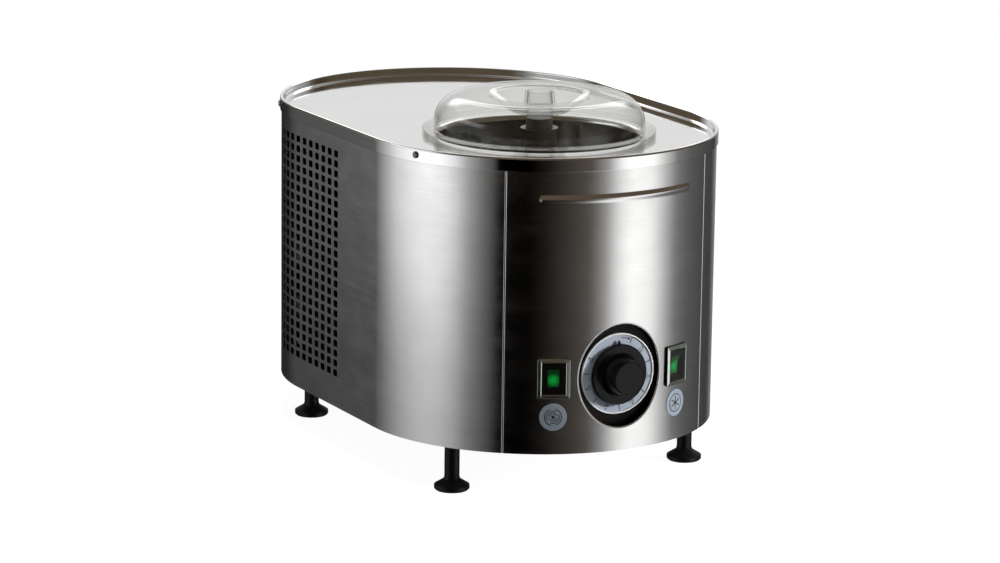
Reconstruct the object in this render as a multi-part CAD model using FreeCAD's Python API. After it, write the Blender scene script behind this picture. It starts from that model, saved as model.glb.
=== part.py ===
import FreeCAD, Part
import math
import os

# Countertop batch freezer for slush and ice cream: a stadium-shaped stainless casing on four feet, with a
# fixed freezing bowl under a clear lid in the top tray, a geared paddle drive below the bowl and a small
# fan-cooled refrigeration set at the rear. Millimetres, +Z up, front faces -Y.
# Sub-parts are laid out about the plan centre of the casing; export shifts them by BODY_SHIFT, so that the
# origin is the middle of the whole footprint at the resting surface.

os.makedirs("parts", exist_ok=True)

# ---------------------------------------------------------------- driving dimensions
BODY_WIDTH = 300.0
BODY_LENGTH = 450.0
BODY_BOTTOM = 41.0
RIM_TOP = 283.7
FLOOR_TOP = 276.8
BAND_BOTTOM = 272.5
SHEET = 0.8
CASING_INSET = 1.2
CASING_TOP = 281.5
HEM_WIDTH = 3.2
TRAY_FILLET = 2.5
FRONT_REACH = 237.0
REAR_REACH = 226.5

SEAM_ANGLE = 38.1
SEAM_GAP = 0.6
SEAM_FLANGE = 10.0
FLANGE_OVERLAP = 0.1

VENT_ROWS = 23
VENT_COLUMNS = 12
VENT_STRAIGHT_COLUMNS = 7
VENT_ROW_PITCH = 8.5
VENT_COLUMN_PITCH = 12.3
VENT_FIRST_ROW = 70.3
VENT_WIDTH = 7.4
VENT_HEIGHT = 5.8

BEAD_Z = 249.8
BEAD_HALF_LENGTH = 72.0
BEAD_HEIGHT = 6.8
BEAD_RISE = 1.2
BEAD_ROOT = 0.3

DIAL_Z = 103.0
DIAL_OPENING_WIDTH = 74.0
DIAL_OPENING_HEIGHT = 85.0
DIAL_PLANE_Y = -216.0
DIAL_RADIUS = 33.5
KNOB_SKIRT_RADIUS = 25.0
KNOB_BASE_RADIUS = 17.0
KNOB_TOP_RADIUS = 14.0

SWITCH_ANGLE = 22.4
SWITCH_Z = 104.0
BADGE_Z = 72.0
BADGE_RADIUS = 11.25
BADGE_THICK = 0.5

FOOT_X = 110.0
FOOT_FRONT_Y = -140.0
FOOT_REAR_Y = 128.0

BOWL_RADIUS = 84.5
BOWL_FORWARD = 3.0
BOWL_FLOOR = 196.0
BOWL_WALL = 1.0
BOWL_EDGE = 4.5
BOWL_FILLET = 10.0
SPINDLE_RADIUS = 6.0
HUB_RADIUS = 15.0
HUB_TOP = 282.0
RUN_GAP = 0.05

OUTPUT_TEETH = 44
OUTPUT_PINION_TEETH = 14
OUTPUT_MODULE = 2.0
INPUT_TEETH = 50
INPUT_PINION_TEETH = 12
INPUT_MODULE = 1.5
GEAR_BACKLASH = 0.25
MOTOR_BEARING_DEG = 30.0

# ---------------------------------------------------------------- derived values
BODY_RADIUS = BODY_WIDTH / 2.0
ARC_Y = BODY_LENGTH / 2.0 - BODY_RADIUS
BODY_SHIFT = (FRONT_REACH - REAR_REACH) / 2.0
BOWL_Y = -ARC_Y - BOWL_FORWARD
SKIN_RADIUS = BODY_RADIUS - CASING_INSET
SKIN_INNER = SKIN_RADIUS - SHEET
SECOND_STAGE = OUTPUT_MODULE * (OUTPUT_TEETH + OUTPUT_PINION_TEETH) / 2.0
FIRST_STAGE = INPUT_MODULE * (INPUT_TEETH + INPUT_PINION_TEETH) / 2.0
LAY_Y = BOWL_Y + SECOND_STAGE
MOTOR_X = FIRST_STAGE * math.cos(math.radians(MOTOR_BEARING_DEG))
MOTOR_Y = LAY_Y + FIRST_STAGE * math.sin(math.radians(MOTOR_BEARING_DEG))

X_AXIS = FreeCAD.Vector(1, 0, 0)
Y_AXIS = FreeCAD.Vector(0, 1, 0)
Z_AXIS = FreeCAD.Vector(0, 0, 1)


# ---------------------------------------------------------------- helpers
def vec(x, y, z):
    return FreeCAD.Vector(x, y, z)


def save(name, shape):
    """Shift a finished sub-part into the shared frame and write it."""
    moved = shape.copy()
    moved.translate(vec(0, BODY_SHIFT, 0))
    moved.exportStep("parts/" + name + ".step")


def box(x0, x1, y0, y1, z0, z1):
    return Part.makeBox(x1 - x0, y1 - y0, z1 - z0, vec(x0, y0, z0))


def rod(radius, start, end):
    """A solid cylinder from one point to another."""
    run = vec(*end) - vec(*start)
    return Part.makeCylinder(radius, run.Length, vec(*start), run)


def post(x, y, radius, z0, z1):
    return rod(radius, (x, y, z0), (x, y, z1))


def tube(x, y, outer, inner, z0, z1):
    return post(x, y, outer, z0, z1).cut(post(x, y, inner, z0 - 1, z1 + 1))


def fuse(shapes):
    shapes = list(shapes)
    body = shapes[0].multiFuse(shapes[1:]) if len(shapes) > 1 else shapes[0]
    return body.removeSplitter()


def outline(points):
    """A closed wire in the XZ plane. A point is (x, z); a triple entry ("arc", middle, end) is an arc."""
    edges = []
    here = points[0]
    for step in points[1:] + [points[0]]:
        if step[0] == "arc":
            middle, end = step[1], step[2]
            arc = Part.Arc(vec(here[0], 0, here[1]), vec(middle[0], 0, middle[1]), vec(end[0], 0, end[1]))
            edges.append(arc.toShape())
            here = end
        elif math.dist(here, step) > 1e-7:
            edges.append(Part.makeLine(vec(here[0], 0, here[1]), vec(step[0], 0, step[1])))
            here = step
    return Part.Wire(edges)


def turned(points, x=0.0, y=0.0, angle=360.0):
    """Revolve a closed (radius, z) outline about the vertical line through (x, y)."""
    face = Part.Face(outline(points))
    solid = face.revolve(vec(0, 0, 0), Z_AXIS, angle)
    solid.translate(vec(x, y, 0))
    return Part.Solid(solid) if solid.ShapeType == "Shell" else solid


def corner(centre, radius, start_deg, end_deg):
    """An ("arc", middle, end) step about a centre, for outline()."""
    def at(deg):
        turn = math.radians(deg)
        return (centre[0] + radius * math.cos(turn), centre[1] + radius * math.sin(turn))
    return ("arc", at((start_deg + end_deg) / 2.0), at(end_deg))


def stadium(inset, z0, z1):
    """A solid stadium, inset from the largest body outline."""
    radius = BODY_RADIUS - inset
    front = post(0, -ARC_Y, radius, z0, z1)
    rear = post(0, ARC_Y, radius, z0, z1)
    return fuse([front, rear, box(-radius, radius, -ARC_Y, ARC_Y, z0, z1)])


def stadium_profile(points):
    """Carry an (inset, z) outline all the way round the body."""
    section = []
    for step in points:
        if step[0] == "arc":
            middle, end = step[1], step[2]
            section.append(("arc", (BODY_RADIUS - middle[0], middle[1]), (BODY_RADIUS - end[0], end[1])))
        else:
            section.append((BODY_RADIUS - step[0], step[1]))
    face = Part.Face(outline(section))
    pieces = []
    for side in (0, 1):
        arc = face.revolve(vec(0, 0, 0), Z_AXIS, 180.0)
        run = face.copy()
        run.translate(vec(0, -ARC_Y, 0))
        run = run.extrude(vec(0, 2 * ARC_Y, 0))
        arc.translate(vec(0, ARC_Y, 0))
        for piece in (arc, run):
            piece.rotate(vec(0, 0, 0), Z_AXIS, 180.0 * side)
            pieces.append(piece)
    return fuse(pieces)


def on_front(shape, angle, z):
    """Place a piece drawn about the origin, facing -Y, on the front arc of the skin."""
    placed = shape.copy()
    placed.rotate(vec(0, 0, 0), Z_AXIS, angle)
    turn = math.radians(angle)
    placed.translate(vec(SKIN_RADIUS * math.sin(turn), -ARC_Y - SKIN_RADIUS * math.cos(turn), z))
    return placed


def front_sector(outer, inner, from_deg, to_deg, z0, z1):
    """A curved slab on the front arc; angles are measured from -Y towards +X."""
    slab = turned([(inner, z0), (outer, z0), (outer, z1), (inner, z1)], angle=to_deg - from_deg)
    slab.rotate(vec(0, 0, 0), Z_AXIS, from_deg - 90.0)
    slab.translate(vec(0, -ARC_Y, 0))
    return slab


def bent_pipe(points, radius, bend):
    """A round pipe along straight runs joined by tangent arcs."""
    points = [vec(*point) for point in points]
    edges = []
    here = points[0]
    for before, knee, after in zip(points, points[1:], points[2:]):
        into = (knee - before).normalize()
        out = (after - knee).normalize()
        half_turn = into.getAngle(out) / 2.0
        trim = bend * math.tan(half_turn)
        first = knee - into * trim
        last = knee + out * trim
        inward = (out - into).normalize()
        middle = knee + inward * (bend / math.cos(half_turn) - bend)
        edges.append(Part.makeLine(here, first))
        edges.append(Part.Arc(first, middle, last).toShape())
        here = last
    edges.append(Part.makeLine(here, points[-1]))
    path = Part.Wire(edges)
    start = points[1] - points[0]
    section = Part.Wire([Part.makeCircle(radius, points[0], start)])
    return path.makePipeShell([section], True, False)


def hull_of_discs(first, second, z0, z1):
    """The solid swept between two discs (x, y, radius) by their outer tangent lines."""
    (ax, ay, ar), (bx, by, br) = first, second
    distance = math.hypot(bx - ax, by - ay)
    heading = math.atan2(by - ay, bx - ax)
    spread = math.acos((ar - br) / distance)
    corners = []
    for (x, y, radius), side in ((first, 1), (second, 1), (second, -1), (first, -1)):
        turn = heading + side * spread
        corners.append(vec(x + radius * math.cos(turn), y + radius * math.sin(turn), z0))
    web = Part.Face(Part.makePolygon(corners + corners[:1])).extrude(vec(0, 0, z1 - z0))
    return fuse([web, post(ax, ay, ar, z0, z1), post(bx, by, br, z0, z1)])


def gear(teeth, module, width, phase_deg):
    """A spur gear at the origin, from z 0 to width, with involute flanks drawn as arcs."""
    pitch = module * teeth / 2.0
    base = pitch * math.cos(math.radians(20.0))
    tip = pitch + module
    root = pitch - 1.25 * module

    def involute(radius):
        ratio = max(radius / base, 1.0)
        return math.sqrt(ratio * ratio - 1.0) - math.acos(1.0 / ratio)

    half_pitch_tooth = (math.pi / 2.0 - GEAR_BACKLASH / module) / teeth + involute(pitch)

    def flank(radius, side, centre):
        turn = centre + side * (half_pitch_tooth - involute(radius))
        return vec(radius * math.cos(turn), radius * math.sin(turn), 0)

    start = max(root, base)
    middle = (start + tip) / 2.0
    edges = []
    for index in range(teeth):
        centre = math.radians(phase_deg) + 2.0 * math.pi * index / teeth
        following = centre + 2.0 * math.pi / teeth
        rise = [flank(r, -1, centre) for r in (start, middle, tip)]
        fall = [flank(r, 1, centre) for r in (tip, middle, start)]
        foot_turn = half_pitch_tooth - involute(start)
        foot_in = vec(root * math.cos(centre + foot_turn), root * math.sin(centre + foot_turn), 0)
        foot_out = vec(root * math.cos(following - foot_turn), root * math.sin(following - foot_turn), 0)
        edges.append(Part.Arc(*rise).toShape())
        edges.append(Part.makeLine(rise[2], fall[0]))
        edges.append(Part.Arc(*fall).toShape())
        if start > root + 1e-6:
            edges.append(Part.makeLine(fall[2], foot_in))
        edges.append(Part.makeLine(foot_in, foot_out))
        if start > root + 1e-6:
            edges.append(Part.makeLine(foot_out, flank(start, -1, following)))
    return Part.Face(Part.Wire(edges)).extrude(vec(0, 0, width))


def hexagon(x, y, across_flats, z0, z1):
    radius = across_flats / math.sqrt(3.0)
    points = []
    for index in range(7):
        turn = math.radians(60.0 * index)
        points.append(vec(x + radius * math.cos(turn), y + radius * math.sin(turn), z0))
    return Part.Face(Part.makePolygon(points)).extrude(vec(0, 0, z1 - z0))


# ---------------------------------------------------------------- casing and tray
TRAY_SCREW_ANGLE = 21.0
TRAY_SCREW_Z = 278.4
TRAY_SCREW_HEAD = 2.9
TRAY_SCREW_SHANK = 1.5
TRAY_SCREW_CLEAR = 1.6
BOWL_OPENING = BOWL_RADIUS + BOWL_EDGE


def tray_screw_places():
    """(x, y) on the band and the outward direction of each of the four tray screws."""
    places = []
    for end in (-1, 1):
        for side in (-1, 1):
            turn = math.radians(TRAY_SCREW_ANGLE)
            out = (side * math.cos(turn), end * math.sin(turn))
            places.append(((BODY_RADIUS * out[0], end * ARC_Y + BODY_RADIUS * out[1]), out))
    return places


def tray_screw_bores():
    bores = []
    for (x, y), out in tray_screw_places():
        deep = HEM_WIDTH - SHEET - 0.05
        inner = (x - out[0] * deep, y - out[1] * deep, TRAY_SCREW_Z)
        outer = (x + out[0], y + out[1], TRAY_SCREW_Z)
        bores.append(rod(TRAY_SCREW_CLEAR, inner, outer))
    return bores


def top_tray():
    hem = HEM_WIDTH / 2.0
    turn_z = RIM_TOP - hem
    wall = HEM_WIDTH
    knee = (wall + TRAY_FILLET, FLOOR_TOP + TRAY_FILLET)
    floor_bottom = FLOOR_TOP - SHEET
    lap = knee[0] + 3.0
    profile = [
        (0.0, BAND_BOTTOM),
        (0.0, turn_z),
        ("arc", (hem, RIM_TOP), (wall, turn_z)),
        (wall, knee[1]),
        corner(knee, TRAY_FILLET, 180.0, 270.0),
        (lap, FLOOR_TOP),
        (lap, floor_bottom),
        (knee[0], floor_bottom),
        corner(knee, TRAY_FILLET + SHEET, 270.0, 180.0),
        (wall - SHEET, turn_z),
        ("arc", (hem, RIM_TOP - SHEET), (SHEET, turn_z)),
        (SHEET, BAND_BOTTOM),
    ]
    floor = stadium(lap - 0.5, floor_bottom, FLOOR_TOP)
    floor = floor.cut(post(0, BOWL_Y, BOWL_OPENING, floor_bottom - 1, FLOOR_TOP + 1))
    tray = fuse([stadium_profile(profile), floor])
    for bore in tray_screw_bores():
        tray = tray.cut(bore)
    return tray


def tray_screws():
    screws = []
    for (x, y), out in tray_screw_places():
        rim = TRAY_SCREW_HEAD
        head = turned([(0, 0), (rim, 0), (rim, 0.6), ("arc", (1.9, 1.6), (0, 1.95))])
        slot = box(-0.35, 0.35, -TRAY_SCREW_HEAD, TRAY_SCREW_HEAD, 1.2, 3.0)
        head = head.cut(slot)
        shank = post(0, 0, TRAY_SCREW_SHANK, CASING_INSET - HEM_WIDTH, 0)
        screw = fuse([head, shank])
        screw.rotate(vec(0, 0, 0), Y_AXIS, 90.0)
        screw.rotate(vec(0, 0, 0), Z_AXIS, math.degrees(math.atan2(out[1], out[0])))
        screw.translate(vec(x, y, TRAY_SCREW_Z))
        screws.append(screw)
    return Part.makeCompound(screws)


def vent_tools():
    """Boxes that punch the ventilation holes on both sides and round the rear corners."""
    tools = []
    for column in range(VENT_COLUMNS):
        along = column * VENT_COLUMN_PITCH
        for row in range(VENT_ROWS):
            z = VENT_FIRST_ROW + row * VENT_ROW_PITCH
            hole = box(-4, 4, -VENT_WIDTH / 2, VENT_WIDTH / 2, z - VENT_HEIGHT / 2, z + VENT_HEIGHT / 2)
            if column < VENT_STRAIGHT_COLUMNS:
                hole.translate(vec(SKIN_RADIUS, along, 0))
            else:
                turn = math.degrees((along - ARC_Y) / SKIN_RADIUS)
                hole.translate(vec(SKIN_RADIUS, 0, 0))
                hole.rotate(vec(0, 0, 0), Z_AXIS, turn)
                hole.translate(vec(0, ARC_Y, 0))
            tools.append(hole)
            tools.append(hole.mirror(vec(0, 0, 0), X_AXIS))
    return tools


def seam_half_angle(side):
    """Angle from the front to the seam's casing edge (side 1) or panel edge (side -1)."""
    return SEAM_ANGLE + side * math.degrees(SEAM_GAP / 2.0 / SKIN_RADIUS)


def seam_flanges(near, far):
    """Inward flanges beside both seams, between two angles from the front."""
    low = BASE_FLANGE_TOP + 1.0
    high = CASING_TOP - SEAM_FLANGE
    outer = SKIN_RADIUS - FLANGE_OVERLAP
    inner = SKIN_RADIUS - SEAM_FLANGE
    right = front_sector(outer, inner, near, far, low, high)
    left = front_sector(outer, inner, -far, -near, low, high)
    return [right, left]


def side_casing():
    """The wrap-round sheet: both sides and the rear, ending in inward flanges beside the front panel."""
    profile = [
        (CASING_INSET, BODY_BOTTOM),
        (CASING_INSET, CASING_TOP),
        (CASING_INSET + SHEET, CASING_TOP),
        (CASING_INSET + SHEET, BODY_BOTTOM),
    ]
    skin = stadium_profile(profile)
    edge = seam_half_angle(1)
    skin = skin.cut(front_sector(BODY_RADIUS + 5, SKIN_INNER - 5, -edge, edge, 0, RIM_TOP))
    thick = math.degrees(SHEET / SKIN_RADIUS)
    skin = fuse([skin] + seam_flanges(edge, edge + thick))
    skin = skin.cut(vent_tools() + tray_screw_bores() + [inlet_cutout()])
    return skin.removeSplitter()


def front_panel():
    """The curved front sheet, with the dial's elliptical opening and the two switch cut-outs."""
    edge = seam_half_angle(-1)
    thick = math.degrees(SHEET / SKIN_RADIUS)
    skin = front_sector(SKIN_RADIUS, SKIN_INNER, -edge, edge, BODY_BOTTOM, CASING_TOP)
    panel = fuse([skin, front_bead()] + seam_flanges(edge - thick, edge))
    tools = [dial_opening()]
    for side in (-1, 1):
        window = box(-SWITCH_BODY_W / 2, SWITCH_BODY_W / 2, -5, 5, -SWITCH_BODY_H / 2, SWITCH_BODY_H / 2)
        tools.append(on_front(window, side * SWITCH_ANGLE, SWITCH_Z))
    return panel.cut(tools).removeSplitter()


def dial_opening():
    rim = Part.Ellipse(vec(0, 0, 0), DIAL_OPENING_HEIGHT / 2.0, DIAL_OPENING_WIDTH / 2.0).toShape()
    opening = Part.Face(Part.Wire([rim])).extrude(vec(0, 0, 60))
    opening.rotate(vec(0, 0, 0), Y_AXIS, 90.0)
    opening.rotate(vec(0, 0, 0), Z_AXIS, -90.0)
    opening.translate(vec(0, -ARC_Y - SKIN_RADIUS + 30, DIAL_Z))
    return opening


def front_bead():
    """A shallow raised bead across the upper front, with rounded ends."""
    half = BEAD_HEIGHT / 2.0
    rise = BEAD_RISE + BEAD_ROOT
    round_radius = (half ** 2 + rise ** 2) / (2.0 * rise)
    centre = SKIN_RADIUS + BEAD_RISE - round_radius
    end_angle = math.degrees((BEAD_HALF_LENGTH - half) / SKIN_RADIUS)
    root = SKIN_RADIUS - BEAD_ROOT
    crown = SKIN_RADIUS + BEAD_RISE
    section = [(root, BEAD_Z - half), ("arc", (crown, BEAD_Z), (root, BEAD_Z + half))]
    bar = turned(section, angle=2 * end_angle)
    bar.rotate(vec(0, 0, 0), Z_AXIS, -90.0 - end_angle)
    bar.translate(vec(0, -ARC_Y, 0))
    keep = front_sector(SKIN_RADIUS + 5, root, -45, 45, BEAD_Z - 20, BEAD_Z + 20)
    pieces = [bar]
    for side in (-1, 1):
        turn = math.radians(side * end_angle)
        middle = vec(centre * math.sin(turn), -ARC_Y - centre * math.cos(turn), BEAD_Z)
        pieces.append(Part.makeSphere(round_radius, middle).common(keep))
    return fuse(pieces)


BASE_THICK = 1.2
BASE_FLANGE_TOP = 56.0
BASE_TOP = BODY_BOTTOM + BASE_THICK
BASE_SLOTS = 6
BASE_SLOT_PITCH = 14.0
BASE_SLOT_WIDTH = 5.0
FOOT_STUD = 4.0
FOOT_STUD_TOP = BASE_TOP + 8.0
FOOT_HOLE = 4.2
FOOT_PAD_RADIUS = 14.6
FOOT_CHAMFER = 1.5
FOOT_NECK_RADIUS = 6.25
FOOT_NUT_HEIGHT = 6.5


def foot_places():
    return {
        "foot_front_left": (-FOOT_X, FOOT_FRONT_Y),
        "foot_front_right": (FOOT_X, FOOT_FRONT_Y),
        "foot_rear_left": (-FOOT_X, FOOT_REAR_Y),
        "foot_rear_right": (FOOT_X, FOOT_REAR_Y),
    }


def base_plate():
    """Floor pan with an upturned edge, foot holes and a row of drain slots."""
    inset = CASING_INSET + SHEET
    pan = stadium(inset, BODY_BOTTOM, BASE_FLANGE_TOP)
    pan = pan.cut(stadium(inset + BASE_THICK, BASE_TOP, BASE_FLANGE_TOP + 1))
    tools = [post(x, y, FOOT_HOLE, BODY_BOTTOM - 1, BASE_TOP + 1) for x, y in foot_places().values()]
    for index in range(BASE_SLOTS):
        y = 60.0 + BASE_SLOT_PITCH * index
        tools.append(box(-26, -4, y, y + BASE_SLOT_WIDTH, BODY_BOTTOM - 1, BASE_TOP + 1))
    return pan.cut(tools)


def foot(x, y):
    """Round pad, sloping shoulder, slim neck and the stud that passes through the base."""
    pad = FOOT_PAD_RADIUS
    neck = FOOT_NECK_RADIUS
    return turned([
        (0, 0),
        (pad - FOOT_CHAMFER, 0),
        (pad, FOOT_CHAMFER),
        (pad, 4.2),
        (pad - 0.7, 5.0),
        (neck + 0.65, 9.3),
        (neck, 10.4),
        (neck, BODY_BOTTOM),
        (FOOT_STUD, BODY_BOTTOM),
        (FOOT_STUD, FOOT_STUD_TOP),
        (0, FOOT_STUD_TOP),
    ], x=x, y=y)


def foot_nuts():
    nuts = []
    for x, y in foot_places().values():
        nut = hexagon(x, y, 13.0, BASE_TOP, BASE_TOP + FOOT_NUT_HEIGHT)
        nuts.append(nut.cut(post(x, y, FOOT_STUD, BASE_TOP - 1, FOOT_STUD_TOP)))
    return Part.makeCompound(nuts)


# ---------------------------------------------------------------- bowl, lid and paddle
TUBE_OUTER = 9.0
TUBE_INNER = 7.4
TUBE_TOP = 262.0


def bowl():
    """Drawn bowl with a rounded upper edge lapped under the tray and a central spindle tube."""
    inner_edge = (BOWL_OPENING, FLOOR_TOP - BOWL_EDGE)
    outer_edge = BOWL_EDGE - BOWL_WALL
    flange_top = FLOOR_TOP - SHEET
    flange_low = flange_top - BOWL_WALL
    meet = math.degrees(math.asin((flange_low - inner_edge[1]) / outer_edge))
    meet_r = BOWL_OPENING - outer_edge * math.cos(math.radians(meet))
    outside = BOWL_RADIUS + BOWL_WALL
    knee = (BOWL_RADIUS - BOWL_FILLET, BOWL_FLOOR + BOWL_FILLET)
    underside = BOWL_FLOOR - BOWL_WALL
    return turned([
        (TUBE_INNER, underside),
        (TUBE_INNER, TUBE_TOP),
        (TUBE_OUTER, TUBE_TOP),
        (TUBE_OUTER, BOWL_FLOOR),
        (knee[0], BOWL_FLOOR),
        corner(knee, BOWL_FILLET, -90, 0),
        (BOWL_RADIUS, inner_edge[1]),
        corner(inner_edge, BOWL_EDGE, 180, 90),
        (BOWL_OPENING, flange_top),
        (BOWL_OPENING + 6.0, flange_top),
        (BOWL_OPENING + 6.0, flange_low),
        (meet_r, flange_low),
        corner(inner_edge, outer_edge, 180.0 - meet, 180.0),
        (outside, knee[1]),
        corner(knee, BOWL_FILLET + BOWL_WALL, 0, -90),
    ], y=BOWL_Y)


COIL_RADIUS = 3.0
COIL_TURNS = 8
COIL_PITCH = 8.0
COIL_FIRST = 205.0
COIL_TOP = COIL_FIRST + COIL_PITCH * (COIL_TURNS - 1)
COIL_CENTRE = BOWL_RADIUS + BOWL_WALL + COIL_RADIUS + 0.05
STUB_X = 30.0
STUB_END = 43.0
FOAM_RADIUS = 112.0
FOAM_HOLE = 20.0
FOAM_BOTTOM = 180.0
FOAM_FLOOR = 194.5
FOAM_TOP = 274.0
BUSH_BOTTOM = 236.0
SEAL_HEIGHT = 8.0


def coil_stubs(radius):
    start_y = BOWL_Y + math.sqrt(COIL_CENTRE ** 2 - STUB_X ** 2)
    outlet = rod(radius, (STUB_X, start_y, COIL_TOP), (STUB_X, STUB_END, COIL_TOP))
    inlet = rod(radius, (-STUB_X, start_y, COIL_FIRST), (-STUB_X, STUB_END, COIL_FIRST))
    return [outlet, inlet]


def evaporator_coil():
    rings = []
    for turn in range(COIL_TURNS):
        middle = vec(0, BOWL_Y, COIL_FIRST + COIL_PITCH * turn)
        rings.append(Part.makeTorus(COIL_CENTRE, COIL_RADIUS, middle))
    riser = rod(2.0, (-COIL_CENTRE, BOWL_Y, COIL_FIRST), (-COIL_CENTRE, BOWL_Y, COIL_TOP))
    return fuse(rings + [riser] + coil_stubs(COIL_RADIUS))


def bowl_insulation():
    inner = COIL_CENTRE + COIL_RADIUS + 0.4
    outer = FOAM_RADIUS
    cup = turned([
        (FOAM_HOLE, FOAM_BOTTOM),
        (outer, FOAM_BOTTOM),
        (outer, FOAM_TOP),
        (inner, FOAM_TOP),
        (inner, FOAM_FLOOR),
        (FOAM_HOLE, FOAM_FLOOR),
    ], y=BOWL_Y)
    return cup.cut(coil_stubs(COIL_RADIUS + 0.2))


def bowl_bush():
    bore = SPINDLE_RADIUS + RUN_GAP
    return turned([
        (bore, BUSH_BOTTOM),
        (TUBE_INNER, BUSH_BOTTOM),
        (TUBE_INNER, TUBE_TOP),
        (TUBE_OUTER, TUBE_TOP),
        (TUBE_OUTER, TUBE_TOP + 2),
        (bore, TUBE_TOP + 2),
    ], y=BOWL_Y)


def shaft_seal():
    return tube(0, BOWL_Y, TUBE_INNER, SPINDLE_RADIUS + RUN_GAP, BOWL_FLOOR, BOWL_FLOOR + SEAL_HEIGHT)


SQUARE = 8.4
SQUARE_BOTTOM = 268.0
THREAD_RADIUS = 4.0
THREAD_TOP = 288.4


def spindle_square(z0, z1):
    half = SQUARE / 2.0
    return box(-half, half, BOWL_Y - half, BOWL_Y + half, z0, z1)


def drive_spindle():
    return fuse([
        post(0, BOWL_Y, SPINDLE_RADIUS, SPINDLE_BOTTOM, SQUARE_BOTTOM),
        spindle_square(SQUARE_BOTTOM, HUB_TOP),
        post(0, BOWL_Y, THREAD_RADIUS, HUB_TOP, THREAD_TOP),
    ])


def paddle_hub():
    foot_z = BOWL_FLOOR + 2.0
    lip = HUB_TOP - 1.2
    hub = turned([
        (TUBE_OUTER + 0.4, foot_z), (HUB_RADIUS, foot_z), (HUB_RADIUS, lip - 0.6), (HUB_RADIUS + 0.8, lip),
        (HUB_RADIUS + 0.8, HUB_TOP - 0.4), (HUB_RADIUS + 0.4, HUB_TOP), (0, HUB_TOP), (0, SQUARE_BOTTOM),
        (TUBE_OUTER + 0.4, SQUARE_BOTTOM),
    ], y=BOWL_Y)
    return hub.cut(spindle_square(SQUARE_BOTTOM - 1, HUB_TOP + 1))


BLADE_REACH = BOWL_RADIUS - 1.2
BLADE_BOTTOM = BOWL_FLOOR + 3.0
BLADE_CORNER = 12.0
BLADE_PITCH = 38.0
SCRAPER_TOP = 38.0
SCRAPER_X = 76.0
SCRAPER_RAKE = 24.0
COLLAR_HEIGHT = 26.0


def paddle_blades():
    """Two pitched floor blades with upright wall scrapers, on a collar around the hub."""
    top = BLADE_BOTTOM + SCRAPER_TOP
    pieces = [tube(0, BOWL_Y, HUB_RADIUS + 2.5, HUB_RADIUS, BLADE_BOTTOM, BLADE_BOTTOM + COLLAR_HEIGHT)]
    reach = turned([
        (0, BLADE_BOTTOM),
        (BLADE_REACH - BLADE_CORNER, BLADE_BOTTOM),
        (BLADE_REACH, BLADE_BOTTOM + BLADE_CORNER),
        (BLADE_REACH, top),
        (0, top),
    ], y=BOWL_Y)
    core = post(0, BOWL_Y, HUB_RADIUS + 0.5, BLADE_BOTTOM - 1, top + 1)
    for turn in (0.0, 180.0):
        blade = box(HUB_RADIUS - 2, BLADE_REACH + 4, -1.3, 1.3, -16, 20)
        blade.rotate(vec(0, 0, 0), X_AXIS, -BLADE_PITCH)
        blade.translate(vec(0, 0, BLADE_BOTTOM + 8))
        scraper = box(SCRAPER_X - 8, BLADE_REACH + 4, -1.5, 1.5, 0, SCRAPER_TOP)
        scraper.rotate(vec(SCRAPER_X, 0, 0), Z_AXIS, SCRAPER_RAKE)
        scraper.translate(vec(0, 0, BLADE_BOTTOM))
        for piece in (blade, scraper):
            piece.rotate(vec(0, 0, 0), Z_AXIS, turn)
            piece.translate(vec(0, BOWL_Y, 0))
            pieces.append(piece.common(reach).cut(core))
    return fuse(pieces)


NUT_RADIUS = 11.2
NUT_TOP = 290.2


def paddle_nut():
    """Blind cap nut that holds the paddle hub down."""
    seat = HUB_TOP + RUN_GAP
    bore = THREAD_RADIUS + RUN_GAP
    return turned([
        (bore, seat),
        (NUT_RADIUS + 0.4, seat),
        (NUT_RADIUS + 0.4, seat + 0.6),
        (NUT_RADIUS, seat + 1.0),
        (NUT_RADIUS - 0.5, NUT_TOP - 0.8),
        corner((NUT_RADIUS - 1.3, NUT_TOP - 0.8), 0.8, 0, 90),
        (0, NUT_TOP),
        (0, THREAD_TOP + 0.3),
        (bore, THREAD_TOP + 0.3),
    ], y=BOWL_Y)


LID_FLANGE = 97.0
LID_FLANGE_TOP = 281.7
LID_WALL = 1.8
LID_SHOULDER = 24.0
LID_DISH_RIM = 46.0
LID_DISH_CURVE = 9.0
LID_DISH_SLOPE = 33.0
LID_SIDE = 88.0
LID_CROWN = 310.0
LID_TUBE_BASE = 13.7
LID_TUBE_TIP = 11.9
LID_TUBE_TOP = 312.4
LID_DISH = 297.2


def lid_shell(skin, low, flange, flange_top):
    """The solid under the lid's outer (skin 0) or inner face; skin is the wall moved inward."""
    shoulder = (LID_SIDE - LID_SHOULDER, LID_CROWN - LID_SHOULDER)
    rim = (LID_DISH_RIM, LID_CROWN - LID_DISH_CURVE)
    rim_radius = LID_DISH_CURVE - skin
    slope = math.radians(LID_DISH_SLOPE)
    leave_z = rim[1] + rim_radius * math.cos(slope)
    run = (leave_z - (LID_DISH - skin)) / math.tan(slope)
    dish_foot = rim[0] - rim_radius * math.sin(slope) - run
    return turned([
        (0, low),
        (flange, low),
        (flange, flange_top - 0.8),
        corner((flange - 0.8, flange_top - 0.8), 0.8, 0, 90),
        (LID_SIDE - skin, flange_top),
        (LID_SIDE - skin, shoulder[1]),
        corner(shoulder, LID_SHOULDER - skin, 0, 90),
        (rim[0], LID_CROWN - skin),
        corner(rim, rim_radius, 90, 90 + LID_DISH_SLOPE),
        (dish_foot, LID_DISH - skin),
        (0, LID_DISH - skin),
    ], y=BOWL_Y)


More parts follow.
